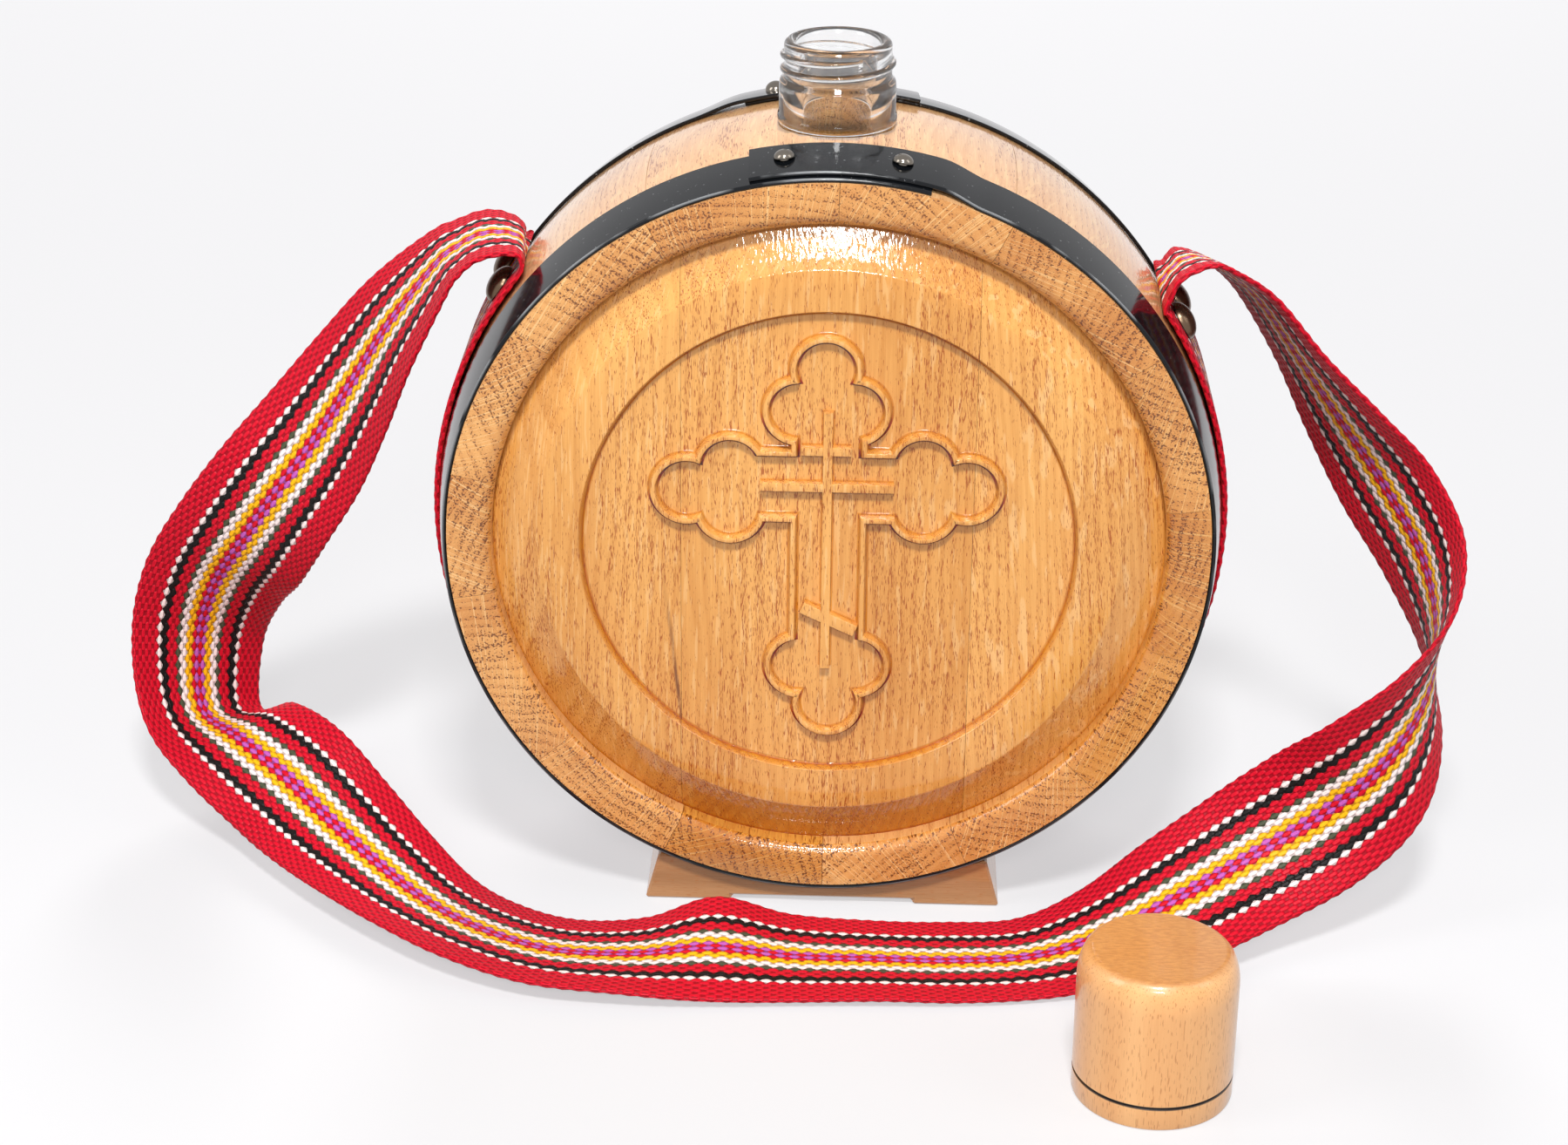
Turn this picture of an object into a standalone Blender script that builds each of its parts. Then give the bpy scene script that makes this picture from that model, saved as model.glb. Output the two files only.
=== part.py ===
"""Wooden flask: a coopered barrel round a flat glass bottle, with a foot, a strap and a screw cap.

Blender 4.5 script, in metres with +Z up. Run it with blender --background --python part.py,
or from Blender's text editor. The barrel lies on its side, so its round front looks along -Y.
"""
import math

import bmesh
import bpy
from mathutils import Vector

# Fits: touching pieces keep FIT between them, and a cutter runs past what it cuts by OVERRUN
FIT = 0.0003
OVERRUN = 0.004
FULL_TURN = math.radians(360)

# Barrel: outer wood surface, measured without the hoops
BARREL_DEPTH = 0.0826
BILGE_RADIUS = 0.1026
BULGE = 0.0043
BARREL_LIFT = 0.0029
AXIS_HEIGHT = BILGE_RADIUS + BARREL_LIFT
ROUND_STEPS = 64

# Staves: angle of each joint's share of the turn, clockwise from the joint under the neck
STAVE_THICKNESS = 0.0135
STAVE_FIRST_JOINT = math.radians(0.9)
STAVE_WIDTH_SHARES = (25.8, 30.1, 25.2, 25.5, 25.7, 23.8, 23.0, 25.6, 24.8, 30.3, 20.3, 25.2, 25.8, 28.9)
STAVE_STEPS = 5
STAVE_CURVE_STEPS = 6

# Chime: the thinner rim in front of each head, with its lip rounded
CHIME_WALL = 0.0113
CHIME_INNER_RADIUS = BILGE_RADIUS - BULGE - CHIME_WALL
LIP_WIDTH = 0.0020
LIP_DEPTH = 0.0024
LIP_SHARES = ((1.0, 0.0), (0.42, 0.14), (0.12, 0.45), (0.0, 1.0))

# Heads: raised panels of three boards, whose tongue sits in the croze groove
HEAD_SET_BACK = 0.0014
HEAD_THICKNESS = 0.0126
BEVEL_WIDTH = 0.0113
PANEL_RADIUS = CHIME_INNER_RADIUS - BEVEL_WIDTH
PANEL_EDGE_ROUND = 0.0007
BEVEL_DEPTH = 0.0050
CROZE_DEPTH = 0.0070
TONGUE_THICKNESS = 0.0035
TONGUE_LENGTH = 0.0031
PANEL_RING_WIDTH = 0.0112
CARVED_FIELD_RADIUS = PANEL_RADIUS - PANEL_RING_WIDTH
CARVED_FIELD_DEPTH = 0.0023
CARVED_WALL_WIDTH = 0.0010
HEAD_BOARD_JOINT_SHARES = (-0.370, 0.363)

# Hoops: steel strips with riveted, overlapping ends
HOOP_WIDTH = 0.0164
HOOP_THICKNESS = 0.0010
HOOP_STEPS = 80
HOOP_CUT_END = math.radians(12)
HOOP_HIDDEN_END = math.radians(14)
HOOP_RAMP = math.radians(7)
HOOP_RAMP_LEAD = math.radians(1)
HOOP_END_SHIFT = 0.0014
RIVET_DIAMETER = 0.0054
RIVET_HEIGHT = 0.0022
RIVET_SHANK_DIAMETER = 0.0028
RIVET_ANGLES = (math.radians(-7.0), math.radians(9.5))
DOME_STEPS = 12

# Bottle: flat and round, its two faces close to the heads
GLASS_THICKNESS = 0.0030
BOTTLE_CORNER_RADIUS = 0.0130
CORNER_STEPS = 3
NECK_HEIGHT = 0.0208
NECK_COLLAR_DIAMETER = 0.0299
NECK_THREAD_DIAMETER = 0.0276
NECK_THREAD_LENGTH = 0.0091
NECK_SHOULDER_HEIGHT = 0.0012
NECK_LIP_ROUND = 0.0016
NECK_BORE_LIP_DIAMETER = 0.0214
NECK_BORE_DIAMETER = 0.0186
NECK_BORE_TAPER = 0.0187
NECK_STEPS = 40

# Foot: a block cut to the barrel's curve, with a shallow arch between its two pads
FOOT_WIDTH = 0.0957
FOOT_TOP_WIDTH = 0.0884
FOOT_HEIGHT = 0.0137
FOOT_SET_BACK = 0.0030
FOOT_PAD_WIDTH = 0.0233
FOOT_ARCH_HEIGHT = 0.0015
FOOT_EDGE_ROUND = 0.0006
STRAP_CHANNEL_GAP = 0.0012

# Strap: woven band nailed to both sides of the barrel, run under it, and looped in front
STRAP_WIDTH = 0.0400
STRAP_THICKNESS = 0.0014
STRAP_FLOOR_GAP = 0.0002
STRAP_LEFT_FOLD = math.radians(52.3)
STRAP_RIGHT_FOLD = math.radians(56.0)
STRAP_FOLD_LEAD = 0.0014
BAND_STEPS = 64
ROUTE_STEPS = 3

# Nails: two domed heads side by side on each side of the barrel
NAIL_DIAMETER = 0.0105
NAIL_HEIGHT = 0.0032
NAIL_SHANK_DIAMETER = 0.0022
NAIL_SHANK_LENGTH = 0.0090
NAIL_SPACING = 0.0170
NAIL_LEFT_ANGLE = math.radians(55.6)
NAIL_RIGHT_ANGLE = math.radians(59.6)

# Cap: a turned wooden shell round a plastic screw cap, standing in front of the flask
CAP_DIAMETER = 0.0395
CAP_HEIGHT = 0.0394
CAP_TOP_DIAMETER = 0.0322
CAP_SHOULDER_HEIGHT = 0.0082
CAP_SHOULDER_SHARES = ((0.0, 0.0), (0.28, 0.10), (0.55, 0.28), (0.78, 0.55), (0.93, 0.80), (1.0, 1.0))
CAP_GROOVE_HEIGHT = 0.0063
CAP_GROOVE_WIDTH = 0.0010
CAP_GROOVE_DEPTH = 0.0005
CAP_EDGE_ROUND = 0.0007
CAP_PLACE_SHARES = (0.810, -1.209)
INSERT_SET_BACK = 0.0010
INSERT_WALL = 0.0013
INSERT_BORE_DIAMETER = 0.0304
INSERT_DEPTH = 0.0222
LINER_DIAMETER = 0.0296
LINER_THICKNESS = 0.0012
CAP_STEPS = 48

# Sizes worked out from the ones above
HALF_DEPTH = BARREL_DEPTH / 2
HEAD_INNER_FACE = HALF_DEPTH - HEAD_SET_BACK - HEAD_THICKNESS
TONGUE_FRONT = HALF_DEPTH - CROZE_DEPTH
BAND_INNER_RADIUS = BILGE_RADIUS + FIT
BAND_MIDDLE_RADIUS = BAND_INNER_RADIUS + STRAP_THICKNESS / 2
BAND_OUTER_RADIUS = BAND_INNER_RADIUS + STRAP_THICKNESS
NECK_TOP = BILGE_RADIUS + NECK_HEIGHT
NECK_HOLE_RADIUS = NECK_COLLAR_DIAMETER / 2 + FIT
FOLD_HEIGHT = AXIS_HEIGHT + BILGE_RADIUS * math.cos(STRAP_LEFT_FOLD)

# The strap's free route, chosen by hand: left, back and up as shares of the bilge radius and the
# fold height, then the direction across the strap from its inner to its outer edge
STRAP_ROUTE_SHARES = (
    (-0.792, 0.00, 1.017, -0.09, 1.00, -0.09),
    (-0.797, 0.00, 1.032, -0.09, 1.00, -0.09),
    (-0.820, 0.00, 1.041, -0.09, 1.00, -0.07),
    (-0.866, 0.00, 1.043, -0.07, 1.00, -0.02),
    (-0.913, 0.00, 1.036, -0.07, 1.00, 0.02),
    (-0.962, 0.00, 1.017, -0.12, 1.00, 0.06),
    (-1.010, 0.00, 0.993, -0.22, 0.98, 0.10),
    (-1.14, 0.01, 0.890, -0.36, 0.87, 0.33),
    (-1.25, 0.04, 0.782, -0.53, 0.73, 0.43),
    (-1.36, 0.06, 0.676, -0.67, 0.55, 0.50),
    (-1.48, 0.07, 0.575, -0.75, 0.36, 0.55),
    (-1.59, 0.12, 0.474, -0.84, 0.12, 0.52),
    (-1.69, 0.20, 0.373, -0.92, -0.21, 0.35),
    (-1.75, 0.24, 0.260, -0.83, -0.50, 0.22),
    (-1.74, 0.18, 0.145, -0.73, -0.63, 0.27),
    (-1.61, 0.03, 0.139, -0.72, -0.65, -0.24),
    (-1.46, -0.11, 0.115, -0.68, -0.55, -0.47),
    (-1.32, -0.24, 0.077, -0.69, -0.67, -0.26),
    (-1.18, -0.38, 0.050, -0.66, -0.75, -0.03),
    (-1.03, -0.52, 0.030, -0.57, -0.81, 0.13),
    (-0.87, -0.64, 0.023, -0.43, -0.88, 0.14),
    (-0.68, -0.72, 0.018, -0.27, -0.95, 0.10),
    (-0.47, -0.74, 0.022, -0.13, -0.99, 0.02),
    (-0.27, -0.73, 0.034, -0.01, -0.97, -0.20),
    (-0.07, -0.71, 0.014, 0.06, -1.00, -0.06),
    (0.14, -0.70, 0.009, 0.08, -1.00, 0.00),
    (0.34, -0.69, 0.006, 0.13, -0.99, 0.00),
    (0.55, -0.66, 0.007, 0.19, -0.98, 0.00),
    (0.74, -0.61, 0.034, 0.30, -0.94, -0.14),
    (0.92, -0.56, 0.085, 0.44, -0.83, -0.36),
    (1.10, -0.48, 0.132, 0.50, -0.68, -0.53),
    (1.27, -0.45, 0.198, 0.61, -0.37, -0.70),
    (1.41, -0.45, 0.282, 0.69, 0.10, -0.72),
    (1.52, -0.37, 0.370, 0.42, 0.57, -0.70),
    (1.57, -0.24, 0.460, -0.03, 0.77, -0.64),
    (1.54, -0.12, 0.557, -0.36, 0.72, -0.59),
    (1.44, -0.04, 0.658, -0.46, 0.70, -0.55),
    (1.32, -0.01, 0.759, -0.36, 0.82, -0.44),
    (1.20, 0.02, 0.860, -0.21, 0.92, -0.33),
    (1.08, 0.04, 0.958, -0.14, 0.95, -0.28),
    (0.985, 0.02, 1.007, -0.05, 0.96, -0.27),
    (0.930, 0.01, 1.023, -0.08, 0.97, -0.23),
    (0.885, 0.01, 1.020, -0.07, 0.98, -0.18),
    (0.852, 0.00, 1.003, -0.02, 0.98, -0.18),
)

# Colours and finishes: base colour, roughness, metallic
FINISHES = {
    "oak_stave": ((0.72, 0.42, 0.16, 1), 0.40, 0.0),
    "oak_head": ((0.76, 0.46, 0.17, 1), 0.42, 0.0),
    "hoop_steel": ((0.048, 0.052, 0.060, 1), 0.35, 0.85),
    "rivet_steel": ((0.040, 0.042, 0.048, 1), 0.30, 0.85),
    "bottle_glass": ((0.86, 0.90, 0.90, 1), 0.05, 0.0),
    "beech_foot": ((0.83, 0.52, 0.26, 1), 0.45, 0.0),
    "beech_cap": ((0.78, 0.47, 0.22, 1), 0.35, 0.0),
    "woven_strap": ((0.50, 0.012, 0.022, 1), 0.85, 0.0),
    "bronze_nail": ((0.12, 0.085, 0.055, 1), 0.35, 0.9),
    "cap_plastic": ((0.85, 0.85, 0.83, 1), 0.40, 0.0),
    "cap_liner_foam": ((0.90, 0.90, 0.88, 1), 0.80, 0.0),
}


def clear_scene():
    """Remove the objects that the scene starts with."""
    for obj in list(bpy.data.objects):
        bpy.data.objects.remove(obj, do_unlink=True)


def make_collection(name):
    """A collection linked to the scene."""
    group = bpy.data.collections.new(name)
    bpy.context.scene.collection.children.link(group)
    return group


def make_materials():
    """One Principled material for each finish."""
    materials = {}
    for name, (colour, roughness, metallic) in FINISHES.items():
        mat = bpy.data.materials.new(name)
        mat.use_nodes = True
        shader = mat.node_tree.nodes["Principled BSDF"]
        shader.inputs["Base Color"].default_value = colour
        shader.inputs["Roughness"].default_value = roughness
        shader.inputs["Metallic"].default_value = metallic
        materials[name] = mat
    return materials


def add_object(name, mesh, group, parent=None, mat=None):
    """An object for a mesh, in a collection and under a parent empty."""
    obj = bpy.data.objects.new(name, mesh)
    group.objects.link(obj)
    obj.parent = parent
    if mat is not None:
        mesh.materials.append(mat)
    return obj


def add_empty(name, group, parent=None, location=(0, 0, 0), rotation=(0, 0, 0)):
    """An empty that carries other objects."""
    empty = bpy.data.objects.new(name, None)
    group.objects.link(empty)
    empty.parent = parent
    empty.location = location
    empty.rotation_euler = rotation
    return empty


def as_cutter(obj):
    """Mark an object as a cutter that doesn't render."""
    obj.hide_render = True
    obj.display_type = 'WIRE'
    return obj


def boolean(obj, cutter, operation):
    """Add an exact Boolean modifier."""
    mod = obj.modifiers.new(operation.lower() + "_" + cutter.name, 'BOOLEAN')
    mod.operation = operation
    mod.solver = 'EXACT'
    mod.object = cutter


def mesh_from(name, bm):
    """A mesh from a bmesh, with its normals made consistent."""
    if bm.faces:
        bmesh.ops.recalc_face_normals(bm, faces=bm.faces)
    mesh = bpy.data.meshes.new(name)
    bm.to_mesh(mesh)
    bm.free()
    return mesh


def turned_mesh(name, profile, closed=False):
    """Edges of a turning profile: (radius, height) from top to bottom down its outer side."""
    bm = bmesh.new()
    verts = [bm.verts.new((radius, 0, height)) for radius, height in profile]
    for start, end in zip(verts, verts[1:]):
        bm.edges.new((start, end))
    if closed:
        bm.edges.new((verts[-1], verts[0]))
    return mesh_from(name, bm)


def turn(obj, steps):
    """Turn an object's profile once round its own Z axis."""
    mod = obj.modifiers.new("turn", 'SCREW')
    mod.axis = 'Z'
    mod.angle = FULL_TURN
    mod.steps = steps
    mod.render_steps = steps
    mod.use_merge_vertices = True
    mod.merge_threshold = FIT / 10
    mod.use_smooth_shade = False
    return obj


def sector_mesh(name, profile, angle, steps):
    """A closed profile face spun through part of a turn about Z, with its two ends closed."""
    bm = bmesh.new()
    face = bm.faces.new([bm.verts.new((radius, 0, height)) for radius, height in profile])
    bmesh.ops.spin(bm, geom=[face] + face.edges[:] + face.verts[:], cent=(0, 0, 0), axis=(0, 0, 1),
                   angle=angle, steps=steps)
    return mesh_from(name, bm)


def grid_mesh(name, rows):
    """An open surface through rows of points, as a loft between unlike sections."""
    bm = bmesh.new()
    grid = [[bm.verts.new(point) for point in row] for row in rows]
    for row, following in zip(grid, grid[1:]):
        for index in range(len(row) - 1):
            bm.faces.new((row[index], row[index + 1], following[index + 1], following[index]))
    return mesh_from(name, bm)


def thicken(obj, thickness):
    """Give an open surface its thickness, half on each side."""
    mod = obj.modifiers.new("thickness", 'SOLIDIFY')
    mod.thickness = thickness
    mod.offset = 0
    mod.use_even_offset = True
    return obj


def arc(centre, radius, start, end, steps):
    """Points of a profile arc, with its angles measured from the radius direction."""
    points = []
    for index in range(steps + 1):
        angle = start + (end - start) * index / steps
        points.append((centre[0] + radius * math.cos(angle), centre[1] + radius * math.sin(angle)))
    return points


def wood_radius(axial):
    """Outer radius of the staves at a distance from the barrel's middle: a parabola."""
    return BILGE_RADIUS - BULGE * (axial / HALF_DEPTH) ** 2


def bulge_tilt(axial):
    """Slope of the staves' outer surface at a distance from the barrel's middle."""
    return math.atan(2 * BULGE * axial / HALF_DEPTH ** 2)


def turn_angle(clockwise):
    """Angle about the barrel's axis empty for an angle clockwise from the top, seen from the front."""
    return math.radians(90) - clockwise


def stave_profile():
    """Section of a stave: bulged outside, chime lips, croze grooves and bulged inside."""
    outer = []
    for index in range(STAVE_CURVE_STEPS + 1):
        axial = HALF_DEPTH - BARREL_DEPTH * index / STAVE_CURVE_STEPS
        outer.append((wood_radius(axial), axial))
    groove_radius = CHIME_INNER_RADIUS + TONGUE_LENGTH + FIT
    groove_front = TONGUE_FRONT + FIT
    groove_back = TONGUE_FRONT - TONGUE_THICKNESS - FIT
    back_half = [(CHIME_INNER_RADIUS + LIP_WIDTH * across, HALF_DEPTH - LIP_DEPTH * down)
                 for across, down in LIP_SHARES]
    back_half += [(CHIME_INNER_RADIUS, groove_front), (groove_radius, groove_front),
                  (groove_radius, groove_back), (wood_radius(groove_back) - STAVE_THICKNESS, groove_back)]
    inner_front = [(radius, axial) for radius, axial in reversed(back_half)]
    inner_back = [(radius, -axial) for radius, axial in back_half]
    middle = [(wood_radius(axial) - STAVE_THICKNESS, axial)
              for axial in (-groove_back / 2, 0, groove_back / 2)]
    return outer + inner_back + middle + inner_front


def make_staves(group, axis, mat, neck_hole, nail_holes):
    """Fourteen staves side by side, with the neck's hole through the two at the top."""
    profile = stave_profile()
    gap = FIT / BILGE_RADIUS
    total = sum(STAVE_WIDTH_SHARES)
    staves = []
    start = STAVE_FIRST_JOINT
    for number, share in enumerate(STAVE_WIDTH_SHARES, start=1):
        width = FULL_TURN * share / total
        name = f"stave_{number:02d}"
        mesh = sector_mesh(name, profile, width - gap, STAVE_STEPS)
        stave = add_object(name, mesh, group, axis, mat)
        stave.rotation_euler.z = turn_angle(start + width) + gap / 2
        for angle, hole in nail_holes:
            if start < angle % FULL_TURN < start + width:
                boolean(stave, hole, 'DIFFERENCE')
        staves.append(stave)
        start += width
    boolean(staves[0], neck_hole, 'DIFFERENCE')
    boolean(staves[-1], neck_hole, 'DIFFERENCE')


def head_profile(field_depth):
    """Half section of a head from its front centre to its back centre."""
    front = HALF_DEPTH - HEAD_SET_BACK
    edge_radius = CHIME_INNER_RADIUS - FIT
    tongue_radius = CHIME_INNER_RADIUS + TONGUE_LENGTH
    tongue_back = TONGUE_FRONT - TONGUE_THICKNESS
    shoulder_radius = min(edge_radius, wood_radius(tongue_back) - STAVE_THICKNESS - FIT)
    panel = [(PANEL_RADIUS - PANEL_EDGE_ROUND, front), (PANEL_RADIUS, front - PANEL_EDGE_ROUND / 3)]
    rim = [(edge_radius, front - BEVEL_DEPTH), (edge_radius, TONGUE_FRONT), (tongue_radius, TONGUE_FRONT),
           (tongue_radius, tongue_back), (shoulder_radius, tongue_back),
           (shoulder_radius, HEAD_INNER_FACE), (0, HEAD_INNER_FACE)]
    if field_depth:
        field = [(0, front - field_depth), (CARVED_FIELD_RADIUS - CARVED_WALL_WIDTH, front - field_depth),
                 (CARVED_FIELD_RADIUS, front)]
    else:
        field = [(0, front)]
    return field + panel + rim


def board_mesh(name, left, right):
    """A box as tall as the head and thicker, from one board edge to the other."""
    bm = bmesh.new()
    reach = BILGE_RADIUS + OVERRUN
    bmesh.ops.create_cube(bm, size=1)
    bmesh.ops.scale(bm, vec=(right - left, 2 * reach, BARREL_DEPTH), verts=bm.verts)
    bmesh.ops.translate(bm, vec=((left + right) / 2, 0, 0), verts=bm.verts)
    return mesh_from(name, bm)


def make_head(side, facing, field_depth, group, cutters, axis, mat):
    """A head of three boards: the turned disc cut by one box for each board."""
    reach = BILGE_RADIUS + OVERRUN
    joints = tuple(BILGE_RADIUS * share for share in HEAD_BOARD_JOINT_SHARES)
    edges = (-reach,) + joints + (reach,)
    for part, left, right in zip(("left", "middle", "right"), edges, edges[1:]):
        name = f"{side}_head_{part}"
        head = add_object(name, turned_mesh(name, head_profile(field_depth)), group, axis, mat)
        head.rotation_euler = facing
        turn(head, ROUND_STEPS)
        box = add_object(name + "_board", board_mesh(name + "_board", left + FIT / 2, right - FIT / 2),
                         cutters, axis)
        boolean(head, as_cutter(box), 'INTERSECT')


def hoop_rows(direction):
    """Rows of points across a hoop, from its hidden end round to its cut end on top."""
    pitch = HOOP_THICKNESS + FIT
    sweep = FULL_TURN + HOOP_CUT_END + HOOP_HIDDEN_END
    steps = round(HOOP_STEPS * sweep / FULL_TURN)
    ramp_start = FULL_TURN - HOOP_RAMP - HOOP_RAMP_LEAD
    rows = []
    for index in range(steps + 1):
        travel = sweep * index / steps
        share = min(max((travel - ramp_start) / HOOP_RAMP, 0), 1)
        rise = share * share * (3 - 2 * share)
        lift = FIT + HOOP_THICKNESS / 2 + pitch * rise
        angle = turn_angle(direction * (HOOP_HIDDEN_END - travel))
        row = []
        front = HALF_DEPTH - HOOP_END_SHIFT * rise
        for axial in (front, front - HOOP_WIDTH / 2, front - HOOP_WIDTH):
            radius = wood_radius(axial) + lift
            row.append((radius * math.cos(angle), radius * math.sin(angle), axial))
        rows.append(row)
    return rows


def dome_mesh(name, diameter, height, shank_diameter, shank_length):
    """Turning profile of a domed head with a shank, its seat at height zero."""
    points = []
    for index in range(CORNER_STEPS + 1):
        angle = math.radians(90) * (1 - index / CORNER_STEPS)
        points.append((diameter / 2 * math.cos(angle), height * math.sin(angle)))
    points[0] = (0, height)
    points += [(shank_diameter / 2, 0), (shank_diameter / 2, -shank_length), (0, -shank_length)]
    return turned_mesh(name, points)


def hole_mesh(name, diameter, length):
    """A cylinder for a hole round a shank, from above its seat down to its length."""
    bm = bmesh.new()
    bmesh.ops.create_cone(bm, cap_ends=True, segments=DOME_STEPS, radius1=diameter / 2,
                          radius2=diameter / 2, depth=length + OVERRUN)
    bmesh.ops.translate(bm, vec=(0, 0, (OVERRUN - length) / 2), verts=bm.verts)
    return mesh_from(name, bm)


def stand_on_barrel(obj, clockwise, axial, radius, tilt):
    """Place an object's Z axis outward on the barrel, tilted with the bulge."""
    angle = turn_angle(clockwise)
    obj.location = (radius * math.cos(angle), radius * math.sin(angle), axial)
    obj.rotation_euler = (0, math.radians(90) - tilt, angle)


def make_hoop(side, direction, group, cutters, axis, mats):
    """A hoop with its two rivets, in the barrel's front or, mirrored, at its back."""
    name = f"{side}_hoop"
    hoop = add_object(name, grid_mesh(name, hoop_rows(direction)), group, axis, mats["hoop_steel"])
    hoop.scale.z = direction
    thicken(hoop, HOOP_THICKNESS)
    axial = direction * (HALF_DEPTH - HOOP_WIDTH / 2)
    seat = wood_radius(axial) + 2 * (HOOP_THICKNESS + FIT) + FIT
    shank = 2 * (HOOP_THICKNESS + FIT)
    for part, clockwise in zip(("left", "right"), sorted(direction * angle for angle in RIVET_ANGLES)):
        rivet_name = f"{name}_rivet_{part}"
        mesh = dome_mesh(rivet_name, RIVET_DIAMETER, RIVET_HEIGHT, RIVET_SHANK_DIAMETER, shank)
        rivet = turn(add_object(rivet_name, mesh, group, axis, mats["rivet_steel"]), DOME_STEPS)
        stand_on_barrel(rivet, clockwise, axial, seat, bulge_tilt(axial))
        mesh = hole_mesh(rivet_name + "_hole", RIVET_SHANK_DIAMETER + 2 * FIT, shank + OVERRUN)
        hole = as_cutter(add_object(rivet_name + "_hole", mesh, cutters, axis))
        stand_on_barrel(hole, clockwise, axial, seat, bulge_tilt(axial))
        boolean(hoop, hole, 'DIFFERENCE')


def bottle_profile(radius, half_depth, corner):
    """Half section of a flat round body with rounded corners."""
    front = arc((radius - corner, half_depth - corner), corner, math.radians(90), 0, CORNER_STEPS)
    back = [(across, -axial) for across, axial in reversed(front)]
    return [(0, half_depth)] + front + back + [(0, -half_depth)]


def make_bottle(group, cutters, root, axis, mat):
    """The glass bottle: a turned body, the neck added, the inside and the bore cut out."""
    half_depth = HEAD_INNER_FACE - FIT
    radius = wood_radius(half_depth - BOTTLE_CORNER_RADIUS) - STAVE_THICKNESS - 2 * FIT
    mesh = turned_mesh("glass_bottle", bottle_profile(radius, half_depth, BOTTLE_CORNER_RADIUS))
    bottle = turn(add_object("glass_bottle", mesh, group, axis, mat), ROUND_STEPS)
    body_bottom = radius - BOTTLE_CORNER_RADIUS
    collar = NECK_COLLAR_DIAMETER / 2
    thread = NECK_THREAD_DIAMETER / 2
    lip_top = arc((thread - NECK_LIP_ROUND, NECK_TOP - NECK_LIP_ROUND), NECK_LIP_ROUND,
                  math.radians(90), 0, CORNER_STEPS)
    thread_end = NECK_TOP - NECK_THREAD_LENGTH
    outside = [(0, NECK_TOP)] + lip_top + [(thread, thread_end), (collar, thread_end - NECK_SHOULDER_HEIGHT),
                                           (collar, body_bottom), (0, body_bottom)]
    bore = [(0, NECK_TOP + OVERRUN), (NECK_BORE_LIP_DIAMETER / 2, NECK_TOP + OVERRUN),
            (NECK_BORE_LIP_DIAMETER / 2, NECK_TOP - NECK_LIP_ROUND),
            (NECK_BORE_DIAMETER / 2, NECK_TOP - NECK_BORE_TAPER),
            (NECK_BORE_DIAMETER / 2, body_bottom - OVERRUN), (0, body_bottom - OVERRUN)]
    inside = bottle_profile(radius - GLASS_THICKNESS, half_depth - GLASS_THICKNESS,
                            BOTTLE_CORNER_RADIUS - GLASS_THICKNESS)
    neck = turn(add_object("neck_outside", turned_mesh("neck_outside", outside), cutters, root), NECK_STEPS)
    neck.location.z = AXIS_HEIGHT
    hollow = turn(add_object("bottle_inside", turned_mesh("bottle_inside", inside), cutters, axis), ROUND_STEPS)
    drill = turn(add_object("neck_bore", turned_mesh("neck_bore", bore), cutters, root), NECK_STEPS)
    drill.location.z = AXIS_HEIGHT
    boolean(bottle, as_cutter(neck), 'UNION')
    boolean(bottle, as_cutter(hollow), 'DIFFERENCE')
    boolean(bottle, as_cutter(drill), 'DIFFERENCE')


def make_neck_hole(cutters, root):
    """Cutter for the round hole that the neck passes through."""
    bm = bmesh.new()
    length = STAVE_THICKNESS + 2 * OVERRUN
    bmesh.ops.create_cone(bm, cap_ends=True, segments=NECK_STEPS, radius1=NECK_HOLE_RADIUS,
                          radius2=NECK_HOLE_RADIUS, depth=length)
    hole = add_object("neck_hole", mesh_from("neck_hole", bm), cutters, root)
    hole.location.z = AXIS_HEIGHT + BILGE_RADIUS - STAVE_THICKNESS / 2
    return as_cutter(hole)


def make_foot(group, cutters, root, axis, mat):
    """The foot: an outline pulled back to its depth, cut to the hoops and the strap's channel."""
    half = FOOT_WIDTH / 2
    top = FOOT_TOP_WIDTH / 2
    pad = half - FOOT_PAD_WIDTH
    depth = BARREL_DEPTH - 2 * FOOT_SET_BACK
    outline = [(-half, 0), (-pad, 0), (-pad, FOOT_ARCH_HEIGHT), (pad, FOOT_ARCH_HEIGHT), (pad, 0),
               (half, 0), (top, FOOT_HEIGHT), (-top, FOOT_HEIGHT)]
    bm = bmesh.new()
    face = bm.faces.new([bm.verts.new((across, -depth / 2, up)) for across, up in outline])
    pulled = bmesh.ops.extrude_face_region(bm, geom=[face])
    back = [item for item in pulled["geom"] if isinstance(item, bmesh.types.BMVert)]
    bmesh.ops.translate(bm, vec=(0, depth, 0), verts=back)
    foot = add_object("foot", mesh_from("foot", bm), group, root, mat)
    bevel = foot.modifiers.new("soft_edges", 'BEVEL')
    bevel.width = FOOT_EDGE_ROUND
    bevel.segments = 1
    bevel.limit_method = 'ANGLE'
    bevel.angle_limit = math.radians(60)
    seat_lift = HOOP_THICKNESS + 2 * FIT
    channel_half = STRAP_WIDTH / 2 + STRAP_CHANNEL_GAP
    channel_radius = BAND_OUTER_RADIUS + FIT
    hoop_back = HALF_DEPTH - HOOP_WIDTH
    front = HALF_DEPTH + OVERRUN
    places = (front, HALF_DEPTH, HALF_DEPTH - HOOP_WIDTH / 2, hoop_back, channel_half)
    seat = [(wood_radius(axial) + seat_lift, axial) for axial in places]
    seat += [(channel_radius, channel_half)]
    profile = [(0, front)] + seat + [(radius, -axial) for radius, axial in reversed(seat)] + [(0, -front)]
    cut = turn(add_object("foot_seat", turned_mesh("foot_seat", profile), cutters, axis), ROUND_STEPS)
    boolean(foot, as_cutter(cut), 'DIFFERENCE')


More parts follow.
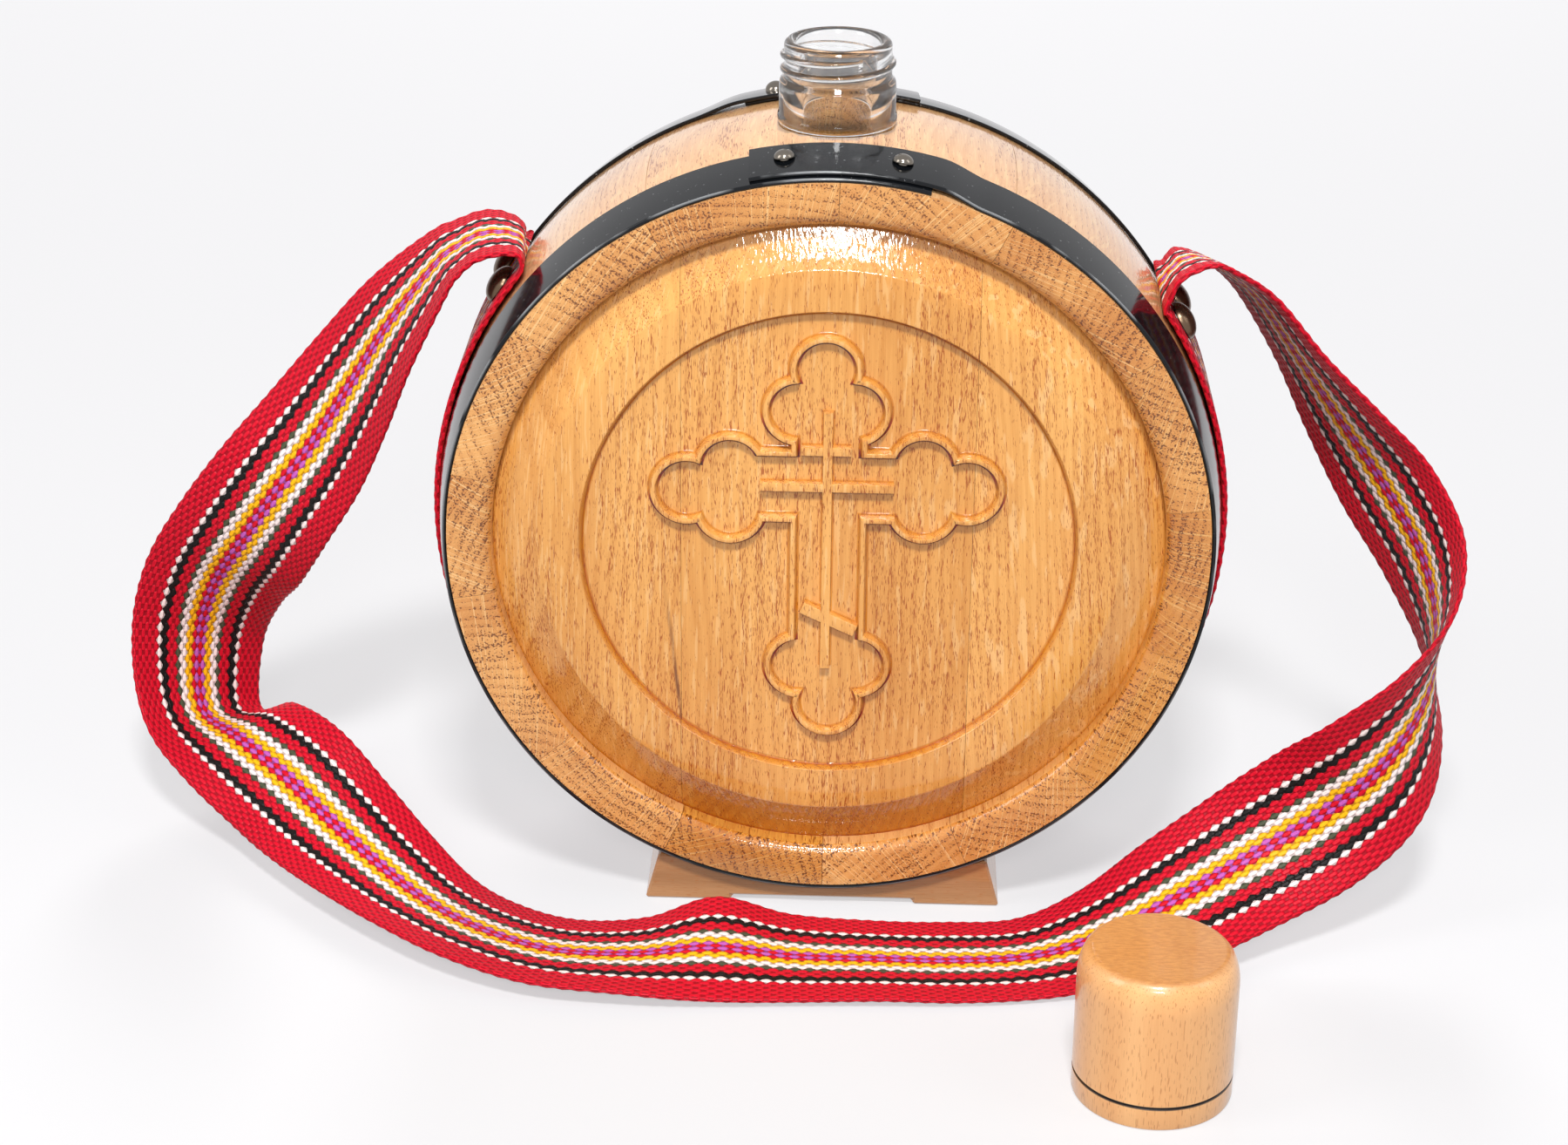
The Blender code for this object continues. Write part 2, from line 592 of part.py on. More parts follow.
def make_strap_band(group, axis, mat, nail_holes):
    """The strap's part that lies round the barrel, from one fold under the barrel to the other."""
    sweep = FULL_TURN - STRAP_LEFT_FOLD - STRAP_RIGHT_FOLD
    rows = []
    for index in range(BAND_STEPS + 1):
        angle = turn_angle(STRAP_RIGHT_FOLD + sweep * index / BAND_STEPS)
        across = BAND_MIDDLE_RADIUS * math.cos(angle)
        up = BAND_MIDDLE_RADIUS * math.sin(angle)
        rows.append([(across, up, STRAP_WIDTH / 2), (across, up, -STRAP_WIDTH / 2)])
    band = thicken(add_object("strap_band", grid_mesh("strap_band", rows), group, axis, mat), STRAP_THICKNESS)
    for _, hole in nail_holes:
        boolean(band, hole, 'DIFFERENCE')


def fold_stations(clockwise):
    """Where the free strap leaves its band at a fold, and a first station along the band's line."""
    angle = clockwise - math.copysign(FIT / BAND_MIDDLE_RADIUS, clockwise)
    start = Vector((BAND_MIDDLE_RADIUS * math.sin(angle), 0, AXIS_HEIGHT + BAND_MIDDLE_RADIUS * math.cos(angle)))
    towards_top = -math.copysign(STRAP_FOLD_LEAD, clockwise)
    return [start, start + Vector((towards_top * math.cos(angle), 0, -towards_top * math.sin(angle)))]


def smooth_point(before, start, end, after, share):
    """A point on the smooth curve between two stations, from the station on each side of them."""
    first = (end - before) / 2
    last = (after - start) / 2
    square = share * share
    cube = square * share
    return (start * (2 * cube - 3 * square + 1) + first * (cube - 2 * square + share)
            + end * (3 * square - 2 * cube) + last * (cube - square))


def strap_stations():
    """Centre and direction across the free strap at each station of its route."""
    floor = STRAP_FLOOR_GAP + STRAP_THICKNESS / 2
    centres = fold_stations(-STRAP_LEFT_FOLD)
    acrosses = [Vector((0, 1, 0)), Vector((0, 1, 0))]
    for right, back, up, *direction in STRAP_ROUTE_SHARES:
        height = floor + (FOLD_HEIGHT - floor) * up
        centres.append(Vector((right * BILGE_RADIUS, back * BILGE_RADIUS, height)))
        acrosses.append(Vector(direction).normalized())
    centres += reversed(fold_stations(STRAP_RIGHT_FOLD))
    acrosses += [Vector((0, 1, 0)), Vector((0, 1, 0))]
    return centres, acrosses


def make_strap_loop(group, root, mat):
    """The free strap as a ribbon lofted along its route."""
    centres, acrosses = strap_stations()
    last = len(centres) - 1
    rows = []
    for index in range(last):
        near = (max(index - 1, 0), index, index + 1, min(index + 2, last))
        for step in range(ROUTE_STEPS):
            share = step / ROUTE_STEPS
            centre = smooth_point(*[centres[station] for station in near], share)
            across = smooth_point(*[acrosses[station] for station in near], share).normalized()
            rows.append([centre - across * STRAP_WIDTH / 2, centre + across * STRAP_WIDTH / 2])
    rows.append([centres[last] - acrosses[last] * STRAP_WIDTH / 2,
                 centres[last] + acrosses[last] * STRAP_WIDTH / 2])
    thicken(add_object("strap_loop", grid_mesh("strap_loop", rows), group, root, mat), STRAP_THICKNESS)


def nail_places():
    """Name, clockwise angle and axial place of each nail."""
    places = []
    for side, clockwise in (("left", -NAIL_LEFT_ANGLE), ("right", NAIL_RIGHT_ANGLE)):
        places.append((f"strap_nail_{side}_front", clockwise, NAIL_SPACING / 2))
        places.append((f"strap_nail_{side}_back", clockwise, -NAIL_SPACING / 2))
    return places


def make_nail_holes(cutters, axis):
    """Cutters for the nails' holes through the strap and into the staves."""
    holes = []
    for name, clockwise, axial in nail_places():
        mesh = hole_mesh(name + "_hole", NAIL_SHANK_DIAMETER + 2 * FIT, NAIL_SHANK_LENGTH + FIT)
        hole = as_cutter(add_object(name + "_hole", mesh, cutters, axis))
        stand_on_barrel(hole, clockwise, axial, BAND_OUTER_RADIUS + FIT, 0)
        holes.append((clockwise, hole))
    return holes


def make_nails(group, axis, mat):
    """The four nails, their heads seated on the strap."""
    for name, clockwise, axial in nail_places():
        mesh = dome_mesh(name, NAIL_DIAMETER, NAIL_HEIGHT, NAIL_SHANK_DIAMETER, NAIL_SHANK_LENGTH)
        nail = turn(add_object(name, mesh, group, axis, mat), DOME_STEPS)
        stand_on_barrel(nail, clockwise, axial, BAND_OUTER_RADIUS + FIT, 0)


def make_cap(group, root, mats):
    """The cap: wooden shell, plastic insert and liner, all on the cap's own axis."""
    right, back = CAP_PLACE_SHARES
    cap_axis = add_empty("cap_axis", group, root, (BILGE_RADIUS * right, BILGE_RADIUS * back, 0))
    radius = CAP_DIAMETER / 2
    top = CAP_TOP_DIAMETER / 2
    shoulder = [(top + (radius - top) * across, CAP_HEIGHT - CAP_SHOULDER_HEIGHT * down)
                for across, down in CAP_SHOULDER_SHARES]
    groove = [(radius, CAP_GROOVE_HEIGHT + CAP_GROOVE_WIDTH / 2), (radius - CAP_GROOVE_DEPTH, CAP_GROOVE_HEIGHT),
              (radius, CAP_GROOVE_HEIGHT - CAP_GROOVE_WIDTH / 2)]
    insert_radius = INSERT_BORE_DIAMETER / 2 + INSERT_WALL
    insert_top = INSERT_DEPTH + INSERT_WALL
    bottom = [(radius, CAP_EDGE_ROUND), (radius - CAP_EDGE_ROUND, 0), (insert_radius + FIT, 0),
              (insert_radius + FIT, insert_top + FIT), (0, insert_top + FIT)]
    shell = turned_mesh("cap_shell", [(0, CAP_HEIGHT)] + shoulder + groove + bottom)
    turn(add_object("cap_shell", shell, group, cap_axis, mats["beech_cap"]), CAP_STEPS)
    bore = INSERT_BORE_DIAMETER / 2
    cup = [(0, insert_top), (insert_radius, insert_top), (insert_radius, INSERT_SET_BACK),
           (bore, INSERT_SET_BACK), (bore, INSERT_DEPTH), (0, INSERT_DEPTH)]
    insert = turned_mesh("cap_insert", cup)
    turn(add_object("cap_insert", insert, group, cap_axis, mats["cap_plastic"]), CAP_STEPS)
    disc_top = INSERT_DEPTH - FIT
    disc = [(0, disc_top), (LINER_DIAMETER / 2, disc_top), (LINER_DIAMETER / 2, disc_top - LINER_THICKNESS),
            (0, disc_top - LINER_THICKNESS)]
    liner = turned_mesh("cap_liner", disc)
    turn(add_object("cap_liner", liner, group, cap_axis, mats["cap_liner_foam"]), CAP_STEPS)


def centre_on_floor(group, root):
    """Move the root so that the origin is at the middle of the whole flask's floor box."""
    bpy.context.view_layer.update()
    graph = bpy.context.evaluated_depsgraph_get()
    corners = []
    for obj in group.objects:
        if obj.type == 'MESH':
            shape = obj.evaluated_get(graph)
            corners += [shape.matrix_world @ vert.co for vert in shape.data.vertices]
    lows = [min(corner[axis] for corner in corners) for axis in range(3)]
    highs = [max(corner[axis] for corner in corners) for axis in range(3)]
    root.location = (-(lows[0] + highs[0]) / 2, -(lows[1] + highs[1]) / 2, -lows[2])
    bpy.context.view_layer.update()


def main():
    """Build the flask."""
    clear_scene()
    group = make_collection("wooden_flask")
    cutters = make_collection("cutters")
    mats = make_materials()
    root = add_empty("flask_root", group)
    axis = add_empty("barrel_axis", group, root, (0, 0, AXIS_HEIGHT), (math.radians(90), 0, 0))
    nail_holes = make_nail_holes(cutters, axis)
    make_staves(group, axis, mats["oak_stave"], make_neck_hole(cutters, root), nail_holes)
    make_head("front", (0, 0, 0), CARVED_FIELD_DEPTH, group, cutters, axis, mats["oak_head"])
    make_head("back", (math.radians(180), 0, 0), 0, group, cutters, axis, mats["oak_head"])
    make_hoop("front", 1, group, cutters, axis, mats)
    make_hoop("back", -1, group, cutters, axis, mats)
    make_bottle(group, cutters, root, axis, mats["bottle_glass"])
    make_foot(group, cutters, root, axis, mats["beech_foot"])
    make_strap_band(group, axis, mats["woven_strap"], nail_holes)
    make_strap_loop(group, root, mats["woven_strap"])
    make_nails(group, axis, mats["bronze_nail"])
    make_cap(group, root, mats)
    centre_on_floor(group, root)


main()
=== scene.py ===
"""Looks of the wooden flask: a coopered barrel round a glass bottle, a woven strap and a turned cap."""
import math

import bmesh
import bpy
import numpy as np
from mathutils import Matrix, Vector


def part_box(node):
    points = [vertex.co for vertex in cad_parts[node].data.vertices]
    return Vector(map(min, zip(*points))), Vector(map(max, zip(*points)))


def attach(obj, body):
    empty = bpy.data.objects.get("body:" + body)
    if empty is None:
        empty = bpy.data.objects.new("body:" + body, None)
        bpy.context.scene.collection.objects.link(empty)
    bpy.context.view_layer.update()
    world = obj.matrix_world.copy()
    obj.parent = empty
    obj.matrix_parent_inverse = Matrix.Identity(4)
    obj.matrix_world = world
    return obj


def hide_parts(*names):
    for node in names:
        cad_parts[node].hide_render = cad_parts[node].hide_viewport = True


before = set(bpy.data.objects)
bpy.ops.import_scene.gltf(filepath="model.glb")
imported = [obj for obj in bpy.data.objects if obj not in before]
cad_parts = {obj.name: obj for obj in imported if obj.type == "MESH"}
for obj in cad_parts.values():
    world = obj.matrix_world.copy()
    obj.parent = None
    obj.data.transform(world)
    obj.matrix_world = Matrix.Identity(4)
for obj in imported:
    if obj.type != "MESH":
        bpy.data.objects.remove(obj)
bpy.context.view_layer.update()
scene = bpy.context.scene

# Camera. It stands where the photograph was taken: in front, above the barrel and tilted down at it, with
# a long lens. Distances are from the middle of the barrel's front plane on the table.
head_low, head_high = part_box("front_head_middle")
barrel_x = (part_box("front_head_left")[0].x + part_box("front_head_right")[1].x) / 2
axis_z = (head_low.z + head_high.z) / 2
front_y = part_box("stave_07")[0].y
barrel_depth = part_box("stave_07")[1].y - front_y
middle_y = front_y + barrel_depth / 2
at_barrel = (barrel_x, middle_y, axis_z)

aside, in_front, above_table = 0.01094, 0.7619, 0.44329
lens_length, sensor_width, nearest_seen = 74.46, 36, 0.01
yaw, pitch, roll = math.radians(-1.659), math.radians(-24.299), math.radians(0.629)
look = Vector((math.sin(yaw) * math.cos(pitch), math.cos(yaw) * math.cos(pitch), math.sin(pitch)))
level = Vector((math.cos(yaw), -math.sin(yaw), 0))
upward = level.cross(look)
camera_right = math.cos(roll) * level + math.sin(roll) * upward
camera_up = math.cos(roll) * upward - math.sin(roll) * level
camera = bpy.data.objects.new("camera", bpy.data.cameras.new("camera"))
camera.data.sensor_width = sensor_width
camera.data.lens = lens_length
camera.data.clip_start = nearest_seen
turn = Matrix((camera_right, camera_up, -look)).transposed()
place = Vector((barrel_x + aside, front_y - in_front, above_table))
camera.matrix_world = Matrix.Translation(place) @ turn.to_4x4()
scene.collection.objects.link(camera)
scene.camera = camera
scene.view_settings.view_transform = 'Standard'


# Table and daylight: matt white paper and white walls. The softbox on the left is stronger than the one on
# the right, a strong one behind lights the paper and isn't mirrored, and two small ones, over the camera
# and above the front, give the varnish its white highlights on slopes and lips.
def colour(code):
    """Linear red, green, blue and one for an sRGB hex colour."""
    parts = [int(code[place:place + 2], 16) / 255 for place in (1, 3, 5)]
    linear = [part / 12.92 if part <= 0.04045 else ((part + 0.055) / 1.055) ** 2.4 for part in parts]
    return (*linear, 1.0)


def add_node(tree, kind, inputs=None, **settings):
    """Adds a shader node with its settings; an input is a value, a socket, or a node for its first output."""
    made = tree.nodes.new("ShaderNode" + kind)
    for name, value in settings.items():
        setattr(made, name, value)
    for name, value in (inputs or {}).items():
        if isinstance(value, bpy.types.Node):
            value = value.outputs[0]
        if isinstance(value, bpy.types.NodeSocket):
            tree.links.new(value, made.inputs[name])
        else:
            made.inputs[name].default_value = value
    return made


def new_material(name):
    """An empty node material and its tree."""
    material = bpy.data.materials.new(name)
    material.use_nodes = True
    material.node_tree.nodes.clear()
    return material, material.node_tree


def seen_directly(tree):
    """One for rays from the camera and for those mirrored or bent by the object, so that they see white."""
    path = add_node(tree, "LightPath")
    glossy = add_node(tree, "Math", {0: path.outputs["Is Camera Ray"], 1: path.outputs["Is Glossy Ray"]},
                      operation='MAXIMUM')
    return add_node(tree, "Math", {0: glossy, 1: path.outputs["Is Transmission Ray"]}, operation='MAXIMUM')


# The camera sees lit paper mixed with an even white, which rises with the distance from the flask. Mirrored
# and bent rays see that white alone, and the rays that carry light meet greyer paper.
lit_share, even_white = 0.44, 0.99
rise_start, rise_end, white_rise = 0.3, 3.0, 0.5
table_reach = 3
paper, tree = new_material("white_paper")
by_camera = add_node(tree, "LightPath").outputs["Is Camera Ray"]
paper_colour = add_node(tree, "Mix", {0: by_camera, 6: colour("#A3A2A3"), 7: colour("#D8D8D9")},
                        data_type='RGBA')
lit = add_node(tree, "BsdfDiffuse", {"Color": paper_colour.outputs[2]})
on_table = add_node(tree, "TexCoord").outputs["Object"]
away = add_node(tree, "VectorMath", {0: on_table}, operation='LENGTH').outputs["Value"]
fading = add_node(tree, "MapRange", {0: away, 1: rise_start, 2: rise_end, 3: 0.0, 4: white_rise})
brightness = add_node(tree, "Math", {0: by_camera, 1: fading, 2: even_white}, operation='MULTIPLY_ADD')
glow = add_node(tree, "Emission", {"Color": colour("#FBFAFC"), "Strength": brightness})
share = add_node(tree, "Math", {0: by_camera, 1: -lit_share, 2: seen_directly(tree)},
                 operation='MULTIPLY_ADD')
mixed = add_node(tree, "MixShader", {0: share, 1: lit, 2: glow})
add_node(tree, "OutputMaterial", {"Surface": mixed})

floor_mesh = bpy.data.meshes.new("table")
corners = [(x * table_reach, y * table_reach, 0) for x, y in ((-1, -1), (1, -1), (1, 1), (-1, 1))]
floor_mesh.from_pydata(corners, [], [(0, 1, 2, 3)])
floor_mesh.materials.append(paper)
table = bpy.data.objects.new("table", floor_mesh)
scene.collection.objects.link(table)

walls_lighting, walls_seen = 0.15, 0.95
world = bpy.data.worlds.new("white_walls")
world.use_nodes = True
world.node_tree.nodes.clear()
tree = world.node_tree
strength = add_node(tree, "MapRange", {0: seen_directly(tree), 3: walls_lighting, 4: walls_seen})
walls = add_node(tree, "Background", {"Color": colour("#FAFAFC"), "Strength": strength})
add_node(tree, "OutputWorld", {"Surface": walls})
scene.world = world

for name, power, size, spot in (("softbox_left", 5.2, (0.5, 0.8), (-1.1, -0.45, 0.9)),
                                ("softbox_right", 2.8, (0.5, 0.8), (1.15, -0.35, 1.0)),
                                ("softbox_front", 6.5, (0.36, 0.10), (0.02, -1.25, 0.86)),
                                ("softbox_back", 18.0, (0.45, 0.9), (0.0, 1.6, 1.3)),
                                ("softbox_above", 20.5, (0.22, 0.18), (0.04, -0.82, 1.32))):
    lamp = bpy.data.lights.new(name, 'AREA')
    lamp.shape = 'RECTANGLE'
    lamp.size, lamp.size_y = size
    lamp.energy = power
    box_light = bpy.data.objects.new(name, lamp)
    box_light.visible_glossy = box_light.visible_transmission = name != "softbox_back"
    aim = Vector(at_barrel) - Vector(spot)
    box_light.matrix_world = Matrix.Translation(spot) @ aim.to_track_quat('-Z', 'Y').to_matrix().to_4x4()
    scene.collection.objects.link(box_light)


# Strap: one band of cotton webbing, 40 mm wide, warp-faced plain weave in coloured stripes. It runs round
# the barrel in one piece with its free loop, is folded over at both sides and lies in front of the flask.
def smooth_path(stations, steps):
    """Points on a smooth curve through stations: a cubic between each two, whose slope at a station is
    half the way from the station before it to the one after it."""
    stations = np.asarray(stations, float)
    before = np.vstack([stations[:1], stations[:-2]])[:, None]
    start, end = stations[:-1, None], stations[1:, None]
    after = np.vstack([stations[2:], stations[-1:]])[:, None]
    share = (np.arange(steps) / steps)[None, :, None]
    points = (start * (2 * share ** 3 - 3 * share ** 2 + 1) + end * (3 * share ** 2 - 2 * share ** 3)
              + (end - before) / 2 * (share ** 3 - 2 * share ** 2 + share)
              + (after - start) / 2 * (share ** 3 - share ** 2))
    return np.vstack([points.reshape(-1, 3), stations[-1:]])


def add_piece(name, points, faces, material, body="flask", sharp=40, outward=True):
    """A mesh object from points in metres, smooth except at edges that turn by more than sharp degrees."""
    mesh = bpy.data.meshes.new(name)
    mesh.from_pydata(np.asarray(points).reshape(-1, 3).tolist(), [], [list(face) for face in faces])
    if outward:
        work = bmesh.new()
        work.from_mesh(mesh)
        bmesh.ops.recalc_face_normals(work, faces=work.faces)
        work.to_mesh(mesh)
        work.free()
    mesh.shade_smooth()
    mesh.set_sharp_from_angle(angle=math.radians(sharp))
    mesh.materials.append(material)
    piece = bpy.data.objects.new(name, mesh)
    scene.collection.objects.link(piece)
    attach(piece, body)
    return piece


def grid_faces(rows, columns, ring=False):
    """Quads of a grid whose columns close on themselves; as a ring its rows do too."""
    row, column = np.meshgrid(np.arange(rows if ring else rows - 1), np.arange(columns), indexing="ij")
    here, there = row * columns, (row + 1) % rows * columns
    beside = (column + 1) % columns
    return np.stack([here + column, there + column, there + beside, here + beside], -1).reshape(-1, 4)


# The barrel's radius at its widest, the clearance between pieces that touch, and the band: its 42 warp
# columns, the angles from the barrel's top at which it leaves the wood, and its lowest height
bilge, fit = 0.1026, 0.0003
strap_width, strap_thickness, columns = 0.040, 0.0014, 42
column_width = strap_width / columns
band_radius = bilge + fit + strap_thickness / 2
left_fold, right_fold = math.radians(-52.3), math.radians(56.0)
fold_height = axis_z + bilge * math.cos(left_fold)
strap_floor = 0.0009
# Stations of the free loop as in the CAD: left, back and up as shares of the barrel's radius and of the
# left fold's height, then the direction across the strap
route_shares = np.array([
    [-0.792, 0.00, 1.017, -0.09, 1.00, -0.09],
    [-0.797, 0.00, 1.032, -0.09, 1.00, -0.09],
    [-0.820, 0.00, 1.041, -0.09, 1.00, -0.07],
    [-0.866, 0.00, 1.043, -0.07, 1.00, -0.02],
    [-0.913, 0.00, 1.036, -0.07, 1.00, 0.02],
    [-0.962, 0.00, 1.017, -0.12, 1.00, 0.06],
    [-1.010, 0.00, 0.993, -0.22, 0.98, 0.10],
    [-1.14, 0.01, 0.890, -0.36, 0.87, 0.33],
    [-1.25, 0.04, 0.782, -0.53, 0.73, 0.43],
    [-1.36, 0.06, 0.676, -0.67, 0.55, 0.50],
    [-1.48, 0.07, 0.575, -0.75, 0.36, 0.55],
    [-1.59, 0.12, 0.474, -0.84, 0.12, 0.52],
    [-1.69, 0.20, 0.373, -0.92, -0.21, 0.35],
    [-1.75, 0.24, 0.260, -0.83, -0.50, 0.22],
    [-1.74, 0.18, 0.145, -0.73, -0.63, 0.27],
    [-1.61, 0.03, 0.139, -0.72, -0.65, -0.24],
    [-1.46, -0.11, 0.115, -0.68, -0.55, -0.47],
    [-1.32, -0.24, 0.077, -0.69, -0.67, -0.26],
    [-1.18, -0.38, 0.050, -0.66, -0.75, -0.03],
    [-1.03, -0.52, 0.030, -0.57, -0.81, 0.13],
    [-0.87, -0.64, 0.023, -0.43, -0.88, 0.14],
    [-0.68, -0.72, 0.018, -0.27, -0.95, 0.10],
    [-0.47, -0.74, 0.022, -0.13, -0.99, 0.02],
    [-0.27, -0.73, 0.034, -0.01, -0.97, -0.20],
    [-0.07, -0.71, 0.014, 0.06, -1.00, -0.06],
    [0.14, -0.70, 0.009, 0.08, -1.00, 0.00],
    [0.34, -0.69, 0.006, 0.13, -0.99, 0.00],
    [0.55, -0.66, 0.007, 0.19, -0.98, 0.00],
    [0.74, -0.61, 0.034, 0.30, -0.94, -0.14],
    [0.92, -0.56, 0.085, 0.44, -0.83, -0.36],
    [1.10, -0.48, 0.132, 0.50, -0.68, -0.53],
    [1.27, -0.45, 0.198, 0.61, -0.37, -0.70],
    [1.41, -0.45, 0.282, 0.69, 0.10, -0.72],
    [1.52, -0.37, 0.370, 0.42, 0.57, -0.70],
    [1.57, -0.24, 0.460, -0.03, 0.77, -0.64],
    [1.54, -0.12, 0.557, -0.36, 0.72, -0.59],
    [1.44, -0.04, 0.658, -0.46, 0.70, -0.55],
    [1.32, -0.01, 0.759, -0.36, 0.82, -0.44],
    [1.20, 0.02, 0.860, -0.21, 0.92, -0.33],
    [1.08, 0.04, 0.958, -0.14, 0.95, -0.28],
    [0.985, 0.02, 1.007, -0.05, 0.96, -0.27],
    [0.930, 0.01, 1.023, -0.08, 0.97, -0.23],
    [0.885, 0.01, 1.020, -0.07, 0.98, -0.18],
    [0.852, 0.00, 1.003, -0.02, 0.98, -0.18],
])
station_steps, band_steps = 24, 400
fold_ends = []
for fold in (left_fold, right_fold):
    turned = fold - math.copysign(fit / band_radius, fold)
    start = np.array([band_radius * math.sin(turned), 0, axis_z + band_radius * math.cos(turned)])
    lead = -math.copysign(strap_thickness, fold)
    fold_ends.append([start, start + lead * np.array([math.cos(turned), 0, -math.sin(turned)])])
free = np.column_stack([route_shares[:, 0] * bilge, route_shares[:, 1] * bilge,
                        strap_floor + (fold_height - strap_floor) * route_shares[:, 2]])
level_across = np.array([[0, 1, 0], [0, 1, 0]])
loop_line = smooth_path(np.vstack([fold_ends[0], free, fold_ends[1][::-1]]), station_steps)
loop_across = smooth_path(np.vstack([level_across, route_shares[:, 3:], level_across]), station_steps)
band_turn = np.linspace(right_fold, left_fold + 2 * math.pi, band_steps)[1:]
band_line = np.column_stack([band_radius * np.sin(band_turn), 0 * band_turn,
                             axis_z + band_radius * np.cos(band_turn)])
strap_line = np.vstack([loop_line, band_line]) + (barrel_x, middle_y, 0)
strap_across = np.vstack([loop_across, np.tile((0, 1, 0), (len(band_line), 1))])
strap_along = np.concatenate([[0], np.cumsum(np.linalg.norm(np.diff(strap_line, axis=0), axis=1))])
loop_length, strap_length = strap_along[len(loop_line) - 1], strap_along[-1]

# The weave repeats every two weft threads, about 3.8 mm. Rows of points lie a quarter of that apart on the
# free loop, where it is seen, and half of it apart on the band under the nails.
wanted_repeat = 0.0038
weave_repeat = strap_length / round(strap_length / wanted_repeat)
quarters = round(strap_length / weave_repeat) * 4
loop_rows = 2 * math.ceil(loop_length / weave_repeat * 2)
row_along = np.concatenate([np.arange(loop_rows), np.arange(loop_rows, quarters, 2)]) * weave_repeat / 4
row_middle = np.column_stack([np.interp(row_along, strap_along, strap_line[:, axis]) for axis in range(3)])
row_across = np.column_stack([np.interp(row_along, strap_along, strap_across[:, axis]) for axis in range(3)])
row_across /= np.linalg.norm(row_across, axis=1)[:, None]
row_tangent = np.roll(row_middle, -1, 0) - np.roll(row_middle, 1, 0)
row_out = np.cross(row_tangent, row_across)
row_out /= np.linalg.norm(row_out, axis=1)[:, None]

# Across: 42 warp columns on each face, each a chain of floats that rise and dive in turn with its
# neighbours, and a scalloped selvedge at both edges
float_inset, float_rise, selvedge_rise = 0.0001, 0.00013, 0.00016
ring_points = 2 * columns + 2
column = np.arange(columns)
column_place = (column - (columns - 1) / 2) * column_width
wave = np.cos(2 * np.pi * (row_along[:, None] / weave_repeat + column / 2))
upper = strap_thickness / 2 - float_inset + float_rise * wave
lower = -strap_thickness / 2 + float_inset + float_rise * wave
scallop = strap_width / 2 + selvedge_rise * wave[:, :1]
across_place = np.hstack([np.tile(column_place, (len(row_along), 1)), scallop,
                          np.tile(column_place[::-1], (len(row_along), 1)), -scallop])
out_place = np.hstack([upper, 0 * scallop, lower[:, ::-1], 0 * scallop])
strap_points = (row_middle[:, None] + across_place[..., None] * row_across[:, None]
                + out_place[..., None] * row_out[:, None])
strap_faces = grid_faces(len(row_along), ring_points, ring=True)

# Each corner's place in the weave, in millimetres along and across; the back's floats lie half a repeat on
row_next = np.append(row_along[1:], strap_length)
on_ring = np.arange(ring_points)
back_shift = np.where((on_ring > columns) & (on_ring < ring_points - 1), weave_repeat / 2, 0)
lane = across_place[0]
lane_next = np.roll(lane, -1)
this_row, that_row = (np.repeat(along[:, None], ring_points, 1) for along in (row_along, row_next))
corner_along = np.stack([this_row, that_row, that_row, this_row], -1) + back_shift[None, :, None]
corner_across = np.broadcast_to(np.stack([lane, lane, lane_next, lane_next], -1), corner_along.shape)
weave_places = np.stack([corner_along, corner_across], -1) * 1000

# Cotton warp threads about 1 mm apart that hide the weft: every thread shows as a chain of small round
# floats, offset from its neighbours' chains, with painted shade in the gaps between them and a soft sheen.
# A point has the colour of the nearest float, darkened as painted shade with the fourth powers of its
# distances along and across.
across_weight, end_steepness, side_steepness = 0.85, 84.0, 150.0
webbing, tree = new_material("woven_cotton_webbing")
weave = add_node(tree, "SeparateXYZ", {0: add_node(tree, "UVMap", uv_map="weave")})
repeat = add_node(tree, "Math", {0: weave.outputs["X"], 1: weave_repeat * 1000}, operation='DIVIDE')
lane_count = add_node(tree, "Math", {0: weave.outputs["Y"], 1: 1 / (column_width * 1000), 2: columns / 2},
                      operation='MULTIPLY_ADD')
nearest = []
for first_lane, phase in ((0.5, 0.0), (1.5, 0.5)):
    half = add_node(tree, "Math", {0: lane_count, 1: 0.5, 2: -first_lane / 2}, operation='MULTIPLY_ADD')
    lane_number = add_node(tree, "Math", {0: half}, operation='ROUND')
    off_across = add_node(tree, "Math", {0: half, 1: lane_number}, operation='SUBTRACT')
    shifted = add_node(tree, "Math", {0: repeat, 1: phase}, operation='SUBTRACT')
    whole = add_node(tree, "Math", {0: shifted}, operation='ROUND')
    off_along = add_node(tree, "Math", {0: shifted, 1: whole}, operation='SUBTRACT')
    along_part = add_node(tree, "Math", {0: off_along, 1: off_along}, operation='MULTIPLY')
    across_part = add_node(tree, "Math", {0: off_across, 1: off_across}, operation='MULTIPLY')
    far = add_node(tree, "Math", {0: across_part, 1: across_weight, 2: along_part}, operation='MULTIPLY_ADD')
    brick_along = add_node(tree, "Math", {0: along_part, 1: end_steepness}, operation='MULTIPLY')
    brick_along = add_node(tree, "Math", {0: brick_along, 1: along_part}, operation='MULTIPLY')
    brick_across = add_node(tree, "Math", {0: across_part, 1: side_steepness}, operation='MULTIPLY')
    brick = add_node(tree, "Math", {0: brick_across, 1: across_part, 2: brick_along},
                     operation='MULTIPLY_ADD')
    number = add_node(tree, "Math", {0: lane_number, 1: 2.0, 2: first_lane}, operation='MULTIPLY_ADD')
    nearest.append((far, number, brick))
(even_far, even_lane, even_brick), (odd_far, odd_lane, odd_brick) = nearest
is_even = add_node(tree, "Math", {0: even_far, 1: odd_far}, operation='LESS_THAN')
lane_shown = add_node(tree, "Mix", {0: is_even, 2: odd_lane, 3: even_lane})
float_far = add_node(tree, "Math", {0: even_brick, 1: odd_brick}, operation='MINIMUM')
red, white, black, green, yellow, violet = "#D00E28", "#F7E4E0", "#110E0D", "#4A4E3A", "#FAB616", "#BE5AB4"
